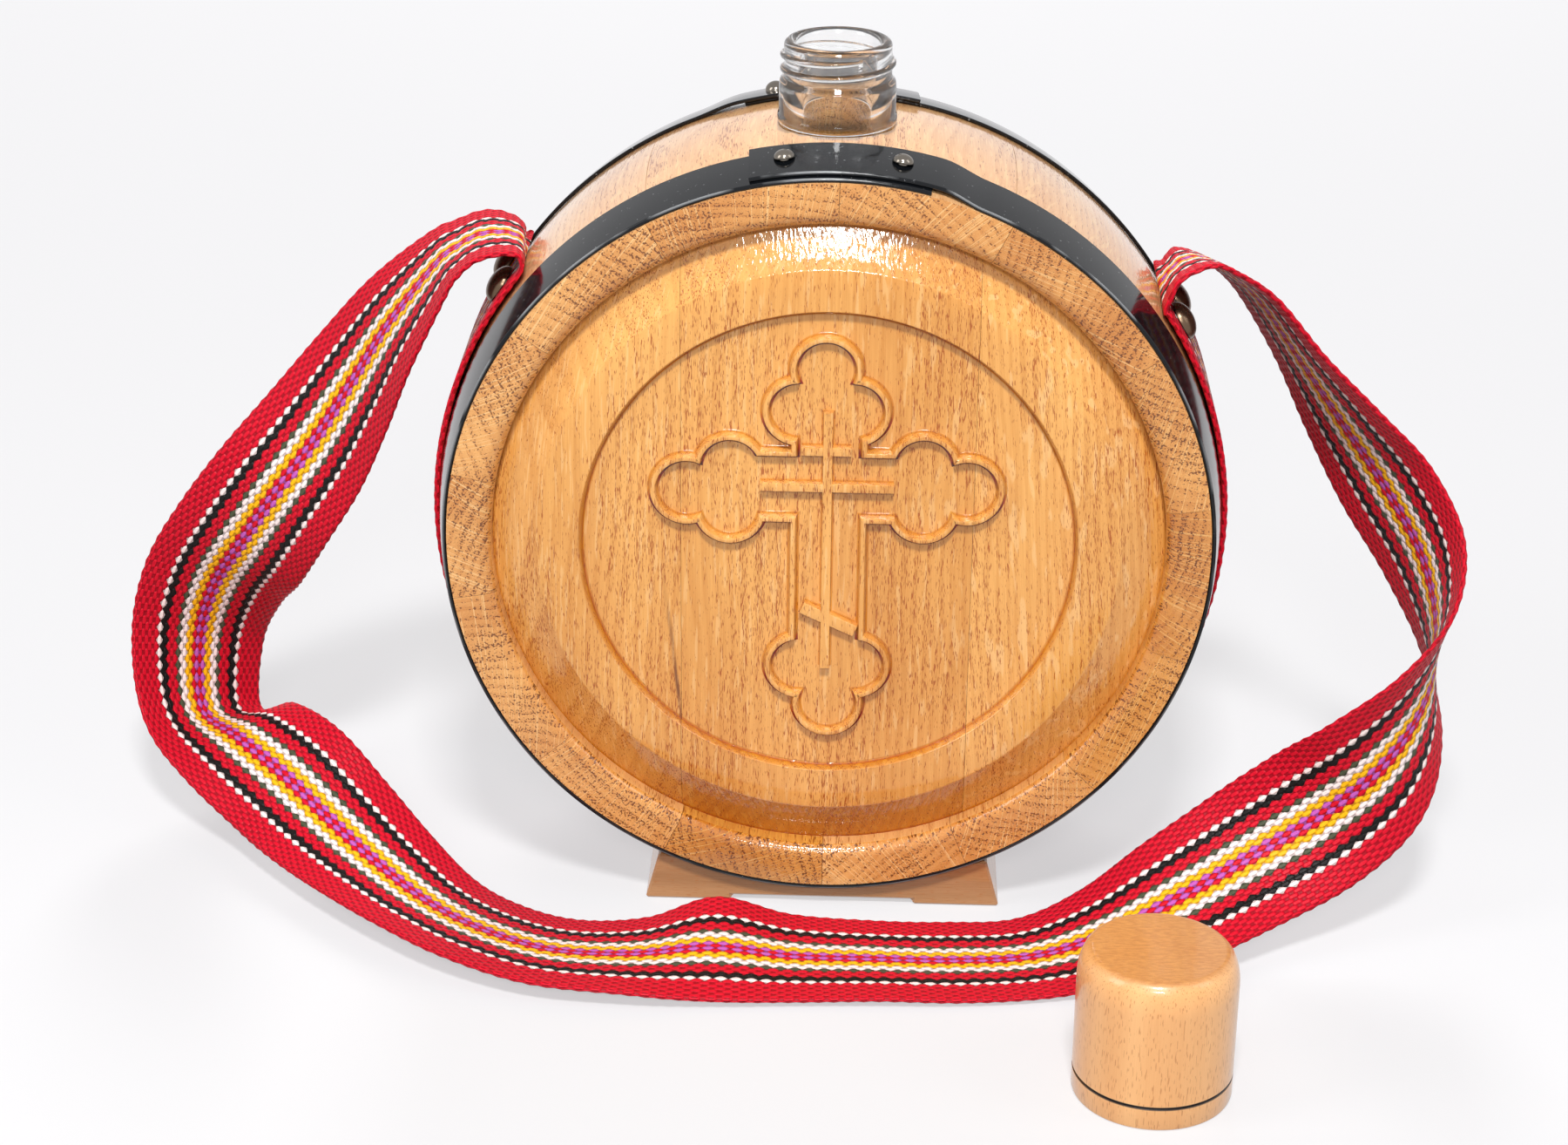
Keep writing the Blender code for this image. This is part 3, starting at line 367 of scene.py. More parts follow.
# The warp column at which each stripe starts
stripes = ((0, red), (8, white), (9, black), (11, red), (14, green), (15, white), (17, yellow),
           (19, violet), (20, red), (21, violet), (22, red), (23, yellow), (25, white), (27, green),
           (28, red), (31, black), (33, white), (34, red))
lane_share = add_node(tree, "Math", {0: lane_shown, 1: columns}, operation='DIVIDE')
stripe = add_node(tree, "ValToRGB", {0: lane_share})
stops = stripe.color_ramp.elements
stripe.color_ramp.interpolation = 'CONSTANT'
for index, (lane_start, code) in enumerate(stripes):
    stop = stops[0] if index == 0 else stops.new(lane_start / columns)
    stop.color = colour(code)
stops.remove(stops[-1])
painted_gap_shade = add_node(tree, "MapRange", {0: float_far, 1: 0.35, 2: 1.9, 3: 1.0, 4: 0.50},
                     interpolation_type='SMOOTHSTEP')
shaded = add_node(tree, "VectorMath", {0: stripe, "Scale": painted_gap_shade}, operation='SCALE')
round_float = add_node(tree, "MapRange", {0: float_far, 1: 0.0, 2: 1.6, 3: 1.0, 4: 0.0},
                       interpolation_type='SMOOTHSTEP')
# The yarn's twist, about half a millimetre long
twist = add_node(tree, "TexNoise", {"Vector": add_node(tree, "UVMap", uv_map="weave"), "Scale": 2.2,
                                    "Detail": 1.0})
height = add_node(tree, "Math", {0: twist, 1: 0.35, 2: round_float}, operation='MULTIPLY_ADD')
relief = add_node(tree, "Bump", {"Height": height, "Distance": 0.0004, "Strength": 0.8})
yarn = add_node(tree, "BsdfPrincipled", {"Base Color": shaded, "Roughness": 0.45, "Specular IOR Level": 0.16,
                                         "Sheen Weight": 0.02, "Sheen Roughness": 0.4, "Normal": relief})
add_node(tree, "OutputMaterial", {"Surface": yarn})

strap = add_piece("strap", strap_points, strap_faces, webbing, sharp=180, outward=False)
strap.data.uv_layers.new(name="weave").uv.foreach_set("vector", weave_places.astype(np.float32).ravel())
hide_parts("strap_band", "strap_loop")


# Staves: fourteen pieces of split oak bent round the barrel, 13.5 mm thick, with a thinner rounded lip in
# front of each head. Their end grain shows in the rim, each turned its own way in the log. The top two
# share the round hole for the bottle's neck.
def grain_of(across, deep, along, turned, pith):
    """Where points of a board lie in its log, in millimetres: out from the pith, round it, and along it."""
    out = across * math.cos(turned) + deep * math.sin(turned) + pith
    side = deep * math.cos(turned) - across * math.sin(turned)
    return np.stack([np.hypot(out, side), np.arctan2(side, out) * pith, along], -1)


def vertex_places(piece):
    """The places of a piece's vertices as rows of x, y and z."""
    places = np.empty(len(piece.data.vertices) * 3)
    piece.data.vertices.foreach_get("co", places)
    return places.reshape(-1, 3)


def add_grain(piece, grain_at):
    """Stores each vertex's place in its log as the attribute grain."""
    grain = piece.data.attributes.new("grain", 'FLOAT_VECTOR', 'POINT')
    grain.data.foreach_set("vector", grain_at(vertex_places(piece)).astype(np.float32).ravel())


def add_varnish_and_shade(piece, amounts):
    """Stores how thick the varnish lies at each vertex: none on open faces, one in corners, more in joints.
    In corners and on sides that face down this darkening is painted shade. A negative amount makes the wood
    paler."""
    varnish = piece.data.attributes.new("varnish", 'FLOAT', 'POINT')
    varnish.data.foreach_set("value", np.asarray(amounts, np.float32).ravel())


def varnished_oak(name, pale, deep, pore, pore_size, pore_levels, ray_size, ray_share, ring_gap,
                  streak=False):
    """Oak under a coat of varnish: rings 2 to 3 mm apart with rows of open pores in their early wood, thin
    rays across them and long fibres, all laid out in the log so that faces, edges and ends agree. Sizes
    are in millimetres out from the pith, round it and along it. Thick varnish, and the painted shade stored
    as varnish, is golden to brown."""
    material, tree = new_material(name)
    place = add_node(tree, "Attribute", attribute_name="grain").outputs["Vector"]

    def speckle(size, **settings):
        """Noise whose cells have the given size."""
        cells = add_node(tree, "Mapping", {"Vector": place, "Scale": [1 / length for length in size]})
        return add_node(tree, "TexNoise", {"Vector": cells, "Scale": 1.0, **settings})

    drift = speckle((16, 30, 90), Detail=2.0)
    place_parts = add_node(tree, "SeparateXYZ", {0: place})
    drifted = add_node(tree, "Math", {0: drift, 1: 9.0, 2: place_parts.outputs["X"]},
                       operation='MULTIPLY_ADD')
    ring_count = add_node(tree, "Math", {0: drifted, 1: ring_gap}, operation='DIVIDE')
    ring = add_node(tree, "Math", {0: ring_count}, operation='FRACT')
    early = add_node(tree, "ValToRGB", {0: ring})
    for position, level in ((0.0, 1.0), (0.30, 0.75), (0.52, 0.15), (0.90, 0.0), (1.0, 0.9)):
        stop = early.color_ramp.elements[0] if position == 0 else early.color_ramp.elements.new(position)
        stop.color = (level, level, level, 1)
    early.color_ramp.elements.remove(early.color_ramp.elements[-1])
    pores = speckle(pore_size, Detail=1.0, Roughness=0.6)
    thin_patches = speckle((14, 18, 60), Detail=1.0)
    sparse = add_node(tree, "MapRange", {0: thin_patches, 1: 0.4, 2: 0.65, 3: 0.0, 4: 0.09})
    needed = add_node(tree, "MapRange", {0: early, 3: pore_levels[0], 4: pore_levels[1]})
    needed = add_node(tree, "Math", {0: needed, 1: sparse}, operation='ADD')
    over = add_node(tree, "Math", {0: pores, 1: needed}, operation='SUBTRACT')
    open_pore = add_node(tree, "MapRange", {0: over, 1: 0.0, 2: 0.06}, interpolation_type='SMOOTHSTEP')
    rays = speckle(ray_size, Detail=1.0)
    ray = add_node(tree, "MapRange", {0: rays, 1: 0.58, 2: 0.65}, interpolation_type='SMOOTHSTEP')
    fibre = speckle((0.3, 0.3, 18), Detail=2.0)
    cloud = speckle((22, 26, 110), Detail=3.0)
    clouded = add_node(tree, "Math", {0: early, 1: 0.16, 2: cloud}, operation='MULTIPLY_ADD')
    tone = add_node(tree, "Math", {0: fibre, 1: 0.55, 2: clouded}, operation='MULTIPLY_ADD')
    wood = add_node(tree, "MapRange", {0: tone, 1: 0.55, 2: 1.1})
    body = add_node(tree, "Mix", {0: wood, 6: colour(pale), 7: colour(deep)}, data_type='RGBA')
    ray_shown = add_node(tree, "Math", {0: ray, 1: ray_share}, operation='MULTIPLY')
    flecked = add_node(tree, "Mix", {0: ray_shown, 6: body.outputs[2], 7: colour("#F8D296")},
                       data_type='RGBA')
    pore_shown = add_node(tree, "Math", {0: open_pore, 1: 0.85}, operation='MULTIPLY')
    pored = add_node(tree, "Mix", {0: pore_shown, 6: flecked.outputs[2], 7: colour(pore)}, data_type='RGBA')
    if streak:
        # a dark mineral streak, broken and uneven in width, that starts left of the ornament and runs down
        # and in on a parabola
        start_drop, start_left, slope, bow, wander = 0.0035, 0.0434, 0.0677, 1.09, 0.004
        spot = add_node(tree, "SeparateXYZ", {0: add_node(tree, "TexCoord").outputs["Object"]})
        below = add_node(tree, "Math", {0: spot.outputs["Z"], 1: axis_z - start_drop}, operation='SUBTRACT')
        bend = add_node(tree, "Math", {0: below, 1: bow, 2: -slope}, operation='MULTIPLY_ADD')
        line = add_node(tree, "Math", {0: below, 1: bend, 2: barrel_x - start_left}, operation='MULTIPLY_ADD')
        wobble = add_node(tree, "Math", {0: drift, 1: wander, 2: line}, operation='MULTIPLY_ADD')
        gap = add_node(tree, "Math", {0: spot.outputs["X"], 1: wobble}, operation='SUBTRACT')
        off = add_node(tree, "Math", {0: gap, 1: wander / 2}, operation='ADD')
        off_line = add_node(tree, "Math", {0: off}, operation='ABSOLUTE')
        beside = add_node(tree, "MapRange", {0: off_line, 1: 0.0001, 2: 0.0009, 3: 1.0, 4: 0.0},
                          interpolation_type='SMOOTHSTEP')
        lower = add_node(tree, "MapRange", {0: below, 1: 0.002, 2: -0.035, 3: 0.0, 4: 1.0})
        strong = add_node(tree, "Math", {0: beside, 1: lower}, operation='MULTIPLY')
        breaks = speckle((1, 1, 9), Detail=2.0)
        uneven = add_node(tree, "MapRange", {0: breaks, 1: 0.35, 2: 0.6, 3: 0.25, 4: 0.9})
        shown = add_node(tree, "Math", {0: strong, 1: uneven}, operation='MULTIPLY')
        pored = add_node(tree, "Mix", {0: shown, 6: pored.outputs[2], 7: colour("#6E3812")}, data_type='RGBA')
    # Varnish, and the painted shade stored with it, takes this much red, green and blue out of the wood's
    # colour where it lies one thick
    thick = add_node(tree, "Attribute", attribute_name="varnish").outputs["Fac"]
    absorbed = add_node(tree, "CombineXYZ", {0: 0.24, 1: 0.41, 2: 0.76})
    left_over = add_node(tree, "VectorMath", {0: absorbed, "Scale": thick}, operation='SCALE')
    passed = add_node(tree, "VectorMath", {0: (1.0, 1.0, 1.0), 1: left_over}, operation='SUBTRACT')
    passed = add_node(tree, "VectorMath", {0: passed, 1: (0.08, 0.05, 0.03)}, operation='MAXIMUM')
    glazed = add_node(tree, "VectorMath", {0: pored.outputs[2], 1: passed}, operation='MULTIPLY')
    fibre_rise = add_node(tree, "Math", {0: fibre, 1: 1.3}, operation='MULTIPLY')
    hollow = add_node(tree, "Math", {0: open_pore, 1: -0.6, 2: fibre_rise}, operation='MULTIPLY_ADD')
    relief = add_node(tree, "Bump", {"Height": hollow, "Distance": 0.00010, "Strength": 0.7})
    brush_marks = speckle((0.8, 0.8, 8), Detail=1.0)
    ripple = add_node(tree, "Math", {0: open_pore, 1: -0.2, 2: brush_marks}, operation='MULTIPLY_ADD')
    film = add_node(tree, "Bump", {"Height": ripple, "Distance": 0.00011, "Strength": 1.0})
    varnished = add_node(tree, "BsdfPrincipled", {
        "Base Color": glazed, "Roughness": 0.35, "Specular IOR Level": 0.1, "Normal": relief,
        "Coat Weight": 1.0, "Coat IOR": 1.54, "Coat Roughness": 0.09, "Coat Normal": film})
    add_node(tree, "OutputMaterial", {"Surface": varnished})
    return material


# The barrel's half depth and how much smaller its radius is at both ends, the lip in front of a head, the
# croze groove that holds the head, and the staves' wall
half_depth, end_drop = 0.0413, 0.0043
chime_radius, lip_width, lip_length = 0.0870, 0.0036, 0.0030
croze_front, croze_back, croze_depth = 0.0343, 0.0305, 0.0034
stave_thickness, joint_angle, hole_radius = 0.0135, 0.0006, 0.01512
# A stave's face that looks at least this far along the barrel shows end grain
end_slope = 0.2


def wood_radius(axial):
    """Radius of the staves' outer face at a distance from the barrel's middle, on a parabola."""
    return bilge - end_drop * (axial / half_depth) ** 2


def end_faces(rows, columns):
    """The two faces that close a grid at its first and its last row."""
    return [tuple(range(columns)), tuple(range((rows - 1) * columns, rows * columns))]


def round_barrel(radius, axial, clockwise):
    """Points at a radius, a distance in front of the barrel's middle and an angle clockwise from its top."""
    return np.stack([barrel_x + radius * np.sin(clockwise), middle_y - axial + 0 * radius * clockwise,
                     axis_z + radius * np.cos(clockwise)], -1)


def cut(piece, cutter, operation='DIFFERENCE'):
    """Cuts a piece with a closed cutter, or adds it, for good, and deletes the cutter."""
    change = piece.modifiers.new("cut", 'BOOLEAN')
    change.operation = operation
    change.solver = 'EXACT'
    change.object = cutter
    bpy.context.view_layer.update()
    shaped = bpy.data.meshes.new_from_object(piece.evaluated_get(bpy.context.evaluated_depsgraph_get()))
    piece.modifiers.clear()
    piece.data = shaped
    bpy.data.objects.remove(cutter)


def turned_piece(name, profile, steps, material, axis="z", at=(0, 0, 0), **settings):
    """A closed solid turned from a half section of (radius, height) points, from one end of its axis to the
    other; with axis y the heights run to the front."""
    profile = np.asarray(profile)
    angle = np.arange(steps) * 2 * np.pi / steps
    ring, rise = profile[1:-1, 0], profile[1:-1, 1]
    across = np.cos(angle)[:, None] * ring
    side = np.sin(angle)[:, None] * ring
    rise = np.tile(rise, (steps, 1))
    poles = [(0, 0, profile[0, 1]), (0, 0, profile[-1, 1])]
    points = np.vstack([np.stack([across, side, rise], -1).reshape(-1, 3), poles])
    count = len(ring)
    turned = np.arange(steps)
    here, there = turned * count, (turned + 1) % steps * count
    step = np.arange(count - 1)
    walls = np.stack([here[:, None] + step, there[:, None] + step, there[:, None] + step + 1,
                      here[:, None] + step + 1], -1).reshape(-1, 4).tolist()
    fans = [(steps * count, a, b) for a, b in zip(here, there)]
    fans += [(steps * count + 1, a + count - 1, b + count - 1) for a, b in zip(here, there)]
    if axis == "y":
        points = np.stack([points[:, 0], -points[:, 2], points[:, 1]], -1)
    return add_piece(name, points + np.asarray(at), walls + fans, material, **settings)


oak_staves = varnished_oak("varnished_oak_staves", "#EBBB88", "#D29A66", "#98541E", (0.28, 0.30, 4.0),
                           (0.64, 0.54), (20, 0.5, 9), 0.3, 1.9)
oak_ends = varnished_oak("varnished_oak_end_grain", "#E6AA64", "#C37D3A", "#5E2A04", (0.60, 0.60, 5.0),
                         (0.59, 0.48), (26, 0.34, 9), 0.5, 2.7)
cutter_finish = bpy.data.materials.new("cutter")
outer_axial = np.linspace(half_depth, -half_depth, 25)
outer = [(wood_radius(axial), axial) for axial in outer_axial]
lip = [(chime_radius + lip_width * (1 - math.sin(a)), half_depth - lip_length * (1 - math.cos(a)))
       for a in np.linspace(0, math.pi / 2, 9)]
croze_radius = chime_radius + croze_depth
groove = [(chime_radius, croze_front + fit), (croze_radius, croze_front + fit), (croze_radius, croze_back),
          (wood_radius(croze_back) - stave_thickness, croze_back)]
inner = [(wood_radius(axial) - stave_thickness, axial)
         for axial in np.linspace(-croze_back, croze_back, 9)[1:-1]]
stave_section = np.array(outer + [(r, -a) for r, a in lip + groove] + inner + (lip + groove)[::-1])
# How wide the staves are beside each other, clockwise from the top
width_shares = np.array([25.8, 30.1, 25.2, 25.5, 25.7, 23.8, 23.0, 25.6, 24.8, 30.3, 20.3, 25.2, 25.8, 28.9])
# How each stave is turned in its log, in degrees, and how far it lies from the pith in millimetres
log_turns = (62, 20, -35, 75, 10, 50, -60, 30, 85, -20, 65, -45, 15, 80)
log_piths = (70, 110, 90, 60, 130, 80, 100, 120, 75, 95, 140, 85, 105, 65)
# How much darker than its own wood each stave is, as thickness of varnish
stave_tones = (0.1, 0.15, 0.3, 0.5, 0.4, 0.15, 0.05, 0.55, 0.1, 0.05, 0.05, 0.0, 0.0, 0.15)
# The middle of the staves' wood from the barrel's axis, and how far apart the staves lie along their log,
# both in millimetres
wood_middle, log_spacing = 95, 300
# Distances from the barrel's axis and how thick the varnish lies there on the lip
lip_varnish = ((0.0870, 0.0880, 0.0900, 0.0908), (0.5, 0.35, 0.3, 0.0))
# The neck's hole is cut between these heights over the barrel's axis
hole_low, hole_high = 0.08, 0.12
stave_steps = 25
stave_start = math.radians(0.9)
for number, (share, log_turn, pith, darker) in enumerate(
        zip(width_shares / width_shares.sum(), log_turns, log_piths, stave_tones), 1):
    stave_width = share * 2 * math.pi
    name = f"stave_{number:02d}"
    steps = np.linspace(stave_start + joint_angle, stave_start + stave_width - joint_angle, stave_steps)
    points = round_barrel(stave_section[None, :, 0], stave_section[None, :, 1], steps[:, None])
    count = len(stave_section)
    faces = grid_faces(stave_steps, count).tolist() + end_faces(stave_steps, count)
    stave = add_piece("oak_" + name, points, faces, oak_staves, sharp=50)
    if number in (1, 14):
        hole_section = [(0, hole_low), (hole_radius, hole_low), (hole_radius, hole_high), (0, hole_high)]
        cut(stave, turned_piece("neck_hole", hole_section, 96, cutter_finish, at=at_barrel))
    middle = stave_start + stave_width / 2

    def stave_grain(places, middle=middle, log_turn=log_turn, pith=pith, number=number):
        """A stave lies in its log by its own turn, its long way along the log."""
        x, z = places[:, 0] - barrel_x, places[:, 2] - axis_z
        across = (x * math.cos(middle) - z * math.sin(middle)) * 1000
        deep = (x * math.sin(middle) + z * math.cos(middle)) * 1000 - wood_middle
        along = places[:, 1] * 1000 + log_spacing * number
        return grain_of(across, deep, along, math.radians(log_turn), pith)

    add_grain(stave, stave_grain)
    stave.data.materials.append(oak_ends)
    normals = np.empty(len(stave.data.polygons) * 3)
    stave.data.polygons.foreach_get("normal", normals)
    on_end = np.abs(normals[1::3]) > end_slope
    stave.data.polygons.foreach_set("material_index", on_end.astype(np.int32))
    places = vertex_places(stave)
    from_axis = np.hypot(places[:, 0] - barrel_x, places[:, 2] - axis_z)
    in_lip = np.abs(places[:, 1] - middle_y) > croze_front
    add_varnish_and_shade(stave, darker + in_lip * np.interp(from_axis, *lip_varnish))
    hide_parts(name)
    stave_start += stave_width


# Heads: each a panel of three oak boards glued edge to edge, turned with a flat rim and a long bevel whose
# edge sits in the staves' groove. The front one has a round field sunk 2.3 mm for the carving.
board_look = ("#E9AB5C", "#CE8A3C", "#A04A06", (0.22, 0.26, 2.2), (0.60, 0.535), (2.4, 0.6, 12), 0.26, 2.6)
oak_heads = varnished_oak("varnished_oak_boards", *board_look)
oak_streaked = varnished_oak("varnished_oak_streaked_board", *board_look, streak=True)
# Where the boards meet, from the barrel's middle, and half the gap there; the head's face, its thickness and
# how far apart its rings of points are; the field; the bevel; and the tongue in the staves' groove
board_edges, glue_gap = (-0.2, -0.03796, 0.03724, 0.2), 0.00004
head_face, head_thickness, ring_step = half_depth - 0.0014, 0.0126, 0.004
sunk, field_radius = 0.0023, 0.0645
bevel_start, bevel_width, bevel_drop, edge_drop = 0.0757, 0.0111, 0.0047, 0.0003
tongue_radius, tongue_foot = 0.0900, 0.0862


def head_section(field_depth):
    """Half section of a head, from the middle of its face round its edge to the middle of its back."""
    floor, back = head_face - field_depth, head_face - head_thickness
    rings = np.arange(ring_step, field_radius, ring_step)
    points = [(0, floor)]
    if field_depth:
        points += [(radius, floor) for radius in rings[:-1]]
        points += [(field_radius - 0.0017, floor), (field_radius - 0.0013, floor),
                   (field_radius - 0.0010, floor + 0.0002),
                   (field_radius - 0.0007, head_face - 0.6 * field_depth),
                   (field_radius - 0.0002, head_face - 0.0002), (field_radius, head_face),
                   (field_radius + 0.0003, head_face)]
    else:
        points += [(radius, head_face) for radius in rings]
    points += [(0.0700, head_face), (0.0750, head_face), (0.0754, head_face - 0.0001),
               (bevel_start, head_face - edge_drop)]
    points += [(bevel_start + bevel_width * s, head_face - edge_drop - bevel_drop * s)
               for s in (0.33, 0.66, 0.93, 1.02)]
    points += [(chime_radius + 0.00002, croze_front), (tongue_radius, croze_front),
               (tongue_radius, croze_back + fit), (tongue_foot, croze_back + fit), (tongue_foot, back)]
    return points + [(radius, back) for radius in (0.06, 0.03)] + [(0, back)]


# For each of a head's boards its turn in its log, in degrees, then in millimetres its distance from the
# pith, how far its grain leans for each one it rises, and how far along the log it lies
board_logs = ((25, 90, 0.02, 0), (38, 120, 0.0, 500), (5, 150, -0.07, 2700))
board_across, board_deep, back_along = 40, 20, 1500


def head_grain(places, at_back=False):
    """Each of a head's boards stands upright and lies in its log by its own turn."""
    x, deep, z = ((places[:, 0] - barrel_x) * 1000, places[:, 1] * 1000, (places[:, 2] - axis_z) * 1000)
    board = np.digitize(x / 1000, board_edges[1:3])
    grain = np.zeros((len(places), 3))
    for number, (log_turn, pith, lean, offset) in enumerate(board_logs):
        here = board == number
        leaning = x[here] - lean * z[here]
        along = z[here] + offset + back_along * at_back
        grain[here] = grain_of(leaning + board_across, deep[here] + board_deep, along,
                               math.radians(log_turn), pith)
    return grain


# Distances from the head's middle and how thick the varnish lies there: painted shade in the corner of the
# field, and varnish in the joint with the staves. The bevel is darker towards the bottom: painted shade.
head_varnish_and_shade = ((0, 0.0628, 0.0632, 0.0635, 0.0638, 0.0643, 0.0645, 0.0648, 0.0830, 0.0862, 0.0870),
                (0, 0.0, 1.1, 1.8, 1.1, 0.6, 0.3, 0.0, 0.02, 0.08, 1.0))
board_tones = {"left": 0.0, "middle": 0.05, "right": -0.16}
outside_field, on_bevel, painted_shade_reach = 0.07, 0.0755, 0.08
for side, facing, field_depth in (("front", 1, sunk), ("back", -1, 0)):
    section = [(radius, axial * facing) for radius, axial in head_section(field_depth)]
    for number, part in enumerate(("left", "middle", "right")):
        name = f"{side}_head_{part}"
        finish = oak_streaked if name == "front_head_left" else oak_heads
        board = turned_piece("oak_" + name, section, 192, finish, axis="y", at=at_barrel)
        work = bmesh.new()
        work.from_mesh(board.data)
        for edge, facing_out in ((board_edges[number], -1), (board_edges[number + 1], 1)):
            place = (barrel_x + edge - facing_out * glue_gap, 0, 0)
            bmesh.ops.bisect_plane(work, geom=work.verts[:] + work.edges[:] + work.faces[:], plane_co=place,
                                   plane_no=(facing_out, 0, 0), clear_outer=True)
            open_edges = [rim for rim in work.edges if rim.is_boundary]
            bmesh.ops.holes_fill(work, edges=open_edges, sides=0)
        work.to_mesh(board.data)
        work.free()
        board.data.set_sharp_from_angle(angle=math.radians(30))
        add_grain(board, lambda places, side=side: head_grain(places, side == "back"))
        places = vertex_places(board)
        from_axis = np.hypot(places[:, 0] - barrel_x, places[:, 2] - axis_z)
        has_corner = np.where(from_axis > outside_field, 1, field_depth > 0)
        # Painted shade: the bevel and the rim beyond it darken towards the bottom, by the cube of the height
        # below the axis
        low = np.clip((axis_z - places[:, 2]) / painted_shade_reach, 0, 1)
        add_varnish_and_shade(board, np.interp(from_axis, *head_varnish_and_shade) * has_corner
                    + low ** 3 * (from_axis > on_bevel) + board_tones[part])
        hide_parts(name)


# Carving: a traditional three-bar cross with round-lobed ends, left standing as low ridges when the field
# was cut back, and varnished; painted shade darkens it golden to brown in the corners at its foot and on
# the sides that face down.
field_y = middle_y - (head_face - sunk)


def crossing(first, second, far_from=None, near_to=None):
    """Where two outline shapes meet, circles (x, z, radius) or lines ('x', value) and ('z', value): of two
    such points the one nearest to near_to, or else the one farthest from far_from."""
    if len(first) == 2 and len(second) == 2:
        values = dict((first, second))
        return np.array([values['x'], values['z']])
    if len(first) == 2:
        first, second = second, first
    x, z, radius = first
    if len(second) == 2:
        axis, value = second
        reach = math.sqrt(radius ** 2 - (value - (x if axis == 'x' else z)) ** 2)
        if axis == 'x':
            both = [np.array([value, z + s * reach]) for s in (-1, 1)]
        else:
            both = [np.array([x + s * reach, value]) for s in (-1, 1)]
    else:
        gap = np.array([second[0] - x, second[1] - z])
        apart = np.linalg.norm(gap)
        along = (radius ** 2 - second[2] ** 2 + apart ** 2) / (2 * apart)
        height = math.sqrt(radius ** 2 - along ** 2)
        foot_point = np.array([x, z]) + gap / apart * along
        both = [foot_point + s * height * np.array([-gap[1], gap[0]]) / apart for s in (-1, 1)]
    distance = [np.linalg.norm(point - (near_to if near_to is not None else far_from)) for point in both]
    return both[int(np.argmin(distance) if near_to is not None else np.argmax(distance))]


def clockwise_arc(circle, start, end, step=0.35):
    """Points clockwise on a circle from one point to another, about step millimetres apart."""
    x, z, radius = circle
    begin = math.atan2(start[1] - z, start[0] - x)
    turned = (begin - math.atan2(end[1] - z, end[0] - x)) % (2 * math.pi)
    angles = begin - np.linspace(0, turned, max(3, int(radius * turned / step)))
    return np.column_stack([x + radius * np.cos(angles), z + radius * np.sin(angles)])


# The outline's lobes as (right, up, radius) and its straight edges, in millimetres from the barrel's axis
lobe = 8.3
top_lobes = ((-7.9, 37.3, lobe), (-1.0, 48.4, lobe), (6.3, 37.4, lobe))
right_lobes = ((24.2, 22.6, lobe), (35.4, 16.5, lobe + 0.3), (24.3, 10.9, lobe))
bottom_lobes = ((7.5, -33.7, lobe), (0.5, -44.9, lobe), (-7.0, -34.0, lobe))
left_lobes = ((-25.3, 9.9, lobe), (-36.4, 15.3, lobe + 0.3), (-25.3, 21.6, lobe))
stem_left, stem_right, arm_top, arm_bottom = ('x', -8.9), ('x', 8.9), ('z', 25.8), ('z', 7.8)
shapes = (top_lobes + (stem_right, arm_top) + right_lobes + (arm_bottom, stem_right) + bottom_lobes
          + (stem_left, arm_bottom) + left_lobes + (arm_top, stem_left))
# Lobes of one end meet outside it, and all other shapes where they are nearest to the arms' crossing
centre = np.array([0.0, 16.8])
ends = []
for index, shape in enumerate(shapes):
    following = shapes[(index + 1) % len(shapes)]
    group = next((lobes for lobes in (top_lobes, right_lobes, bottom_lobes, left_lobes)
                  if shape in lobes and following in lobes), None)
    if group:
        ends.append(crossing(shape, following, far_from=np.mean(group, 0)[:2]))
    else:
        ends.append(crossing(shape, following, near_to=centre))
outline = []
for index, shape in enumerate(shapes):
    start, end = ends[index - 1], ends[index]
    if len(shape) == 3:
        outline.append(clockwise_arc(shape, start, end)[:-1])
    else:
        outline.append(np.linspace(start, end, max(2, int(np.linalg.norm(end - start) / 1.2)))[:-1])
outline = np.vstack(outline)


def swept_ridge(name, path, section, closed=True, mitre_limit=0.45):
    """A ridge carried along a path in the carved field: each section point stands its first number to the
    left of the path's way and its second number out of the field, with mitred corners, in millimetres; its
    third is how much the wood is darkened there, stored as varnish: painted shade, stronger on the sides
    that face down."""
    back = path - np.roll(path, 1, 0)
    ahead = np.roll(path, -1, 0) - path
    if not closed:
        back[0], ahead[-1] = ahead[0], back[-1]
    back /= np.linalg.norm(back, axis=1)[:, None]
    ahead /= np.linalg.norm(ahead, axis=1)[:, None]
    mean = back + ahead
    mean /= np.linalg.norm(mean, axis=1)[:, None]
    left = np.column_stack([-mean[:, 1], mean[:, 0]])
    stretch = 1 / np.clip((mean * ahead).sum(1), mitre_limit, 1)
    section = np.array(section, float)
    flat = path[:, None] + left[:, None] * stretch[:, None, None] * section[None, :, :1]
    points = np.stack([barrel_x + flat[..., 0] / 1000,
                       np.broadcast_to(field_y - section[:, 1] / 1000, flat.shape[:2]),
                       axis_z + flat[..., 1] / 1000], -1)
    faces = grid_faces(len(path), len(section), ring=closed).tolist()
    if not closed:
        faces += end_faces(len(path), len(section))
    ridge = add_piece(name, points, faces, oak_heads, sharp=28)
    add_grain(ridge, head_grain)
    # painted shade: the sides that face down are darkened more
    under = np.clip(-np.sign(section[None, :, 0]) * left[:, None, 1], 0, 1)
    add_varnish_and_shade(ridge, section[None, :, 2] * (0.4 + 1.2 * under))
    return ridge


def both_sides(side, shift=0.0):
    """A whole section from its left side, which is turned over for the right, moved to the left by shift."""
    return ([(shift + across, up, amount) for across, up, amount in side]
            + [(shift - across, up, amount) for across, up, amount in reversed(side)])


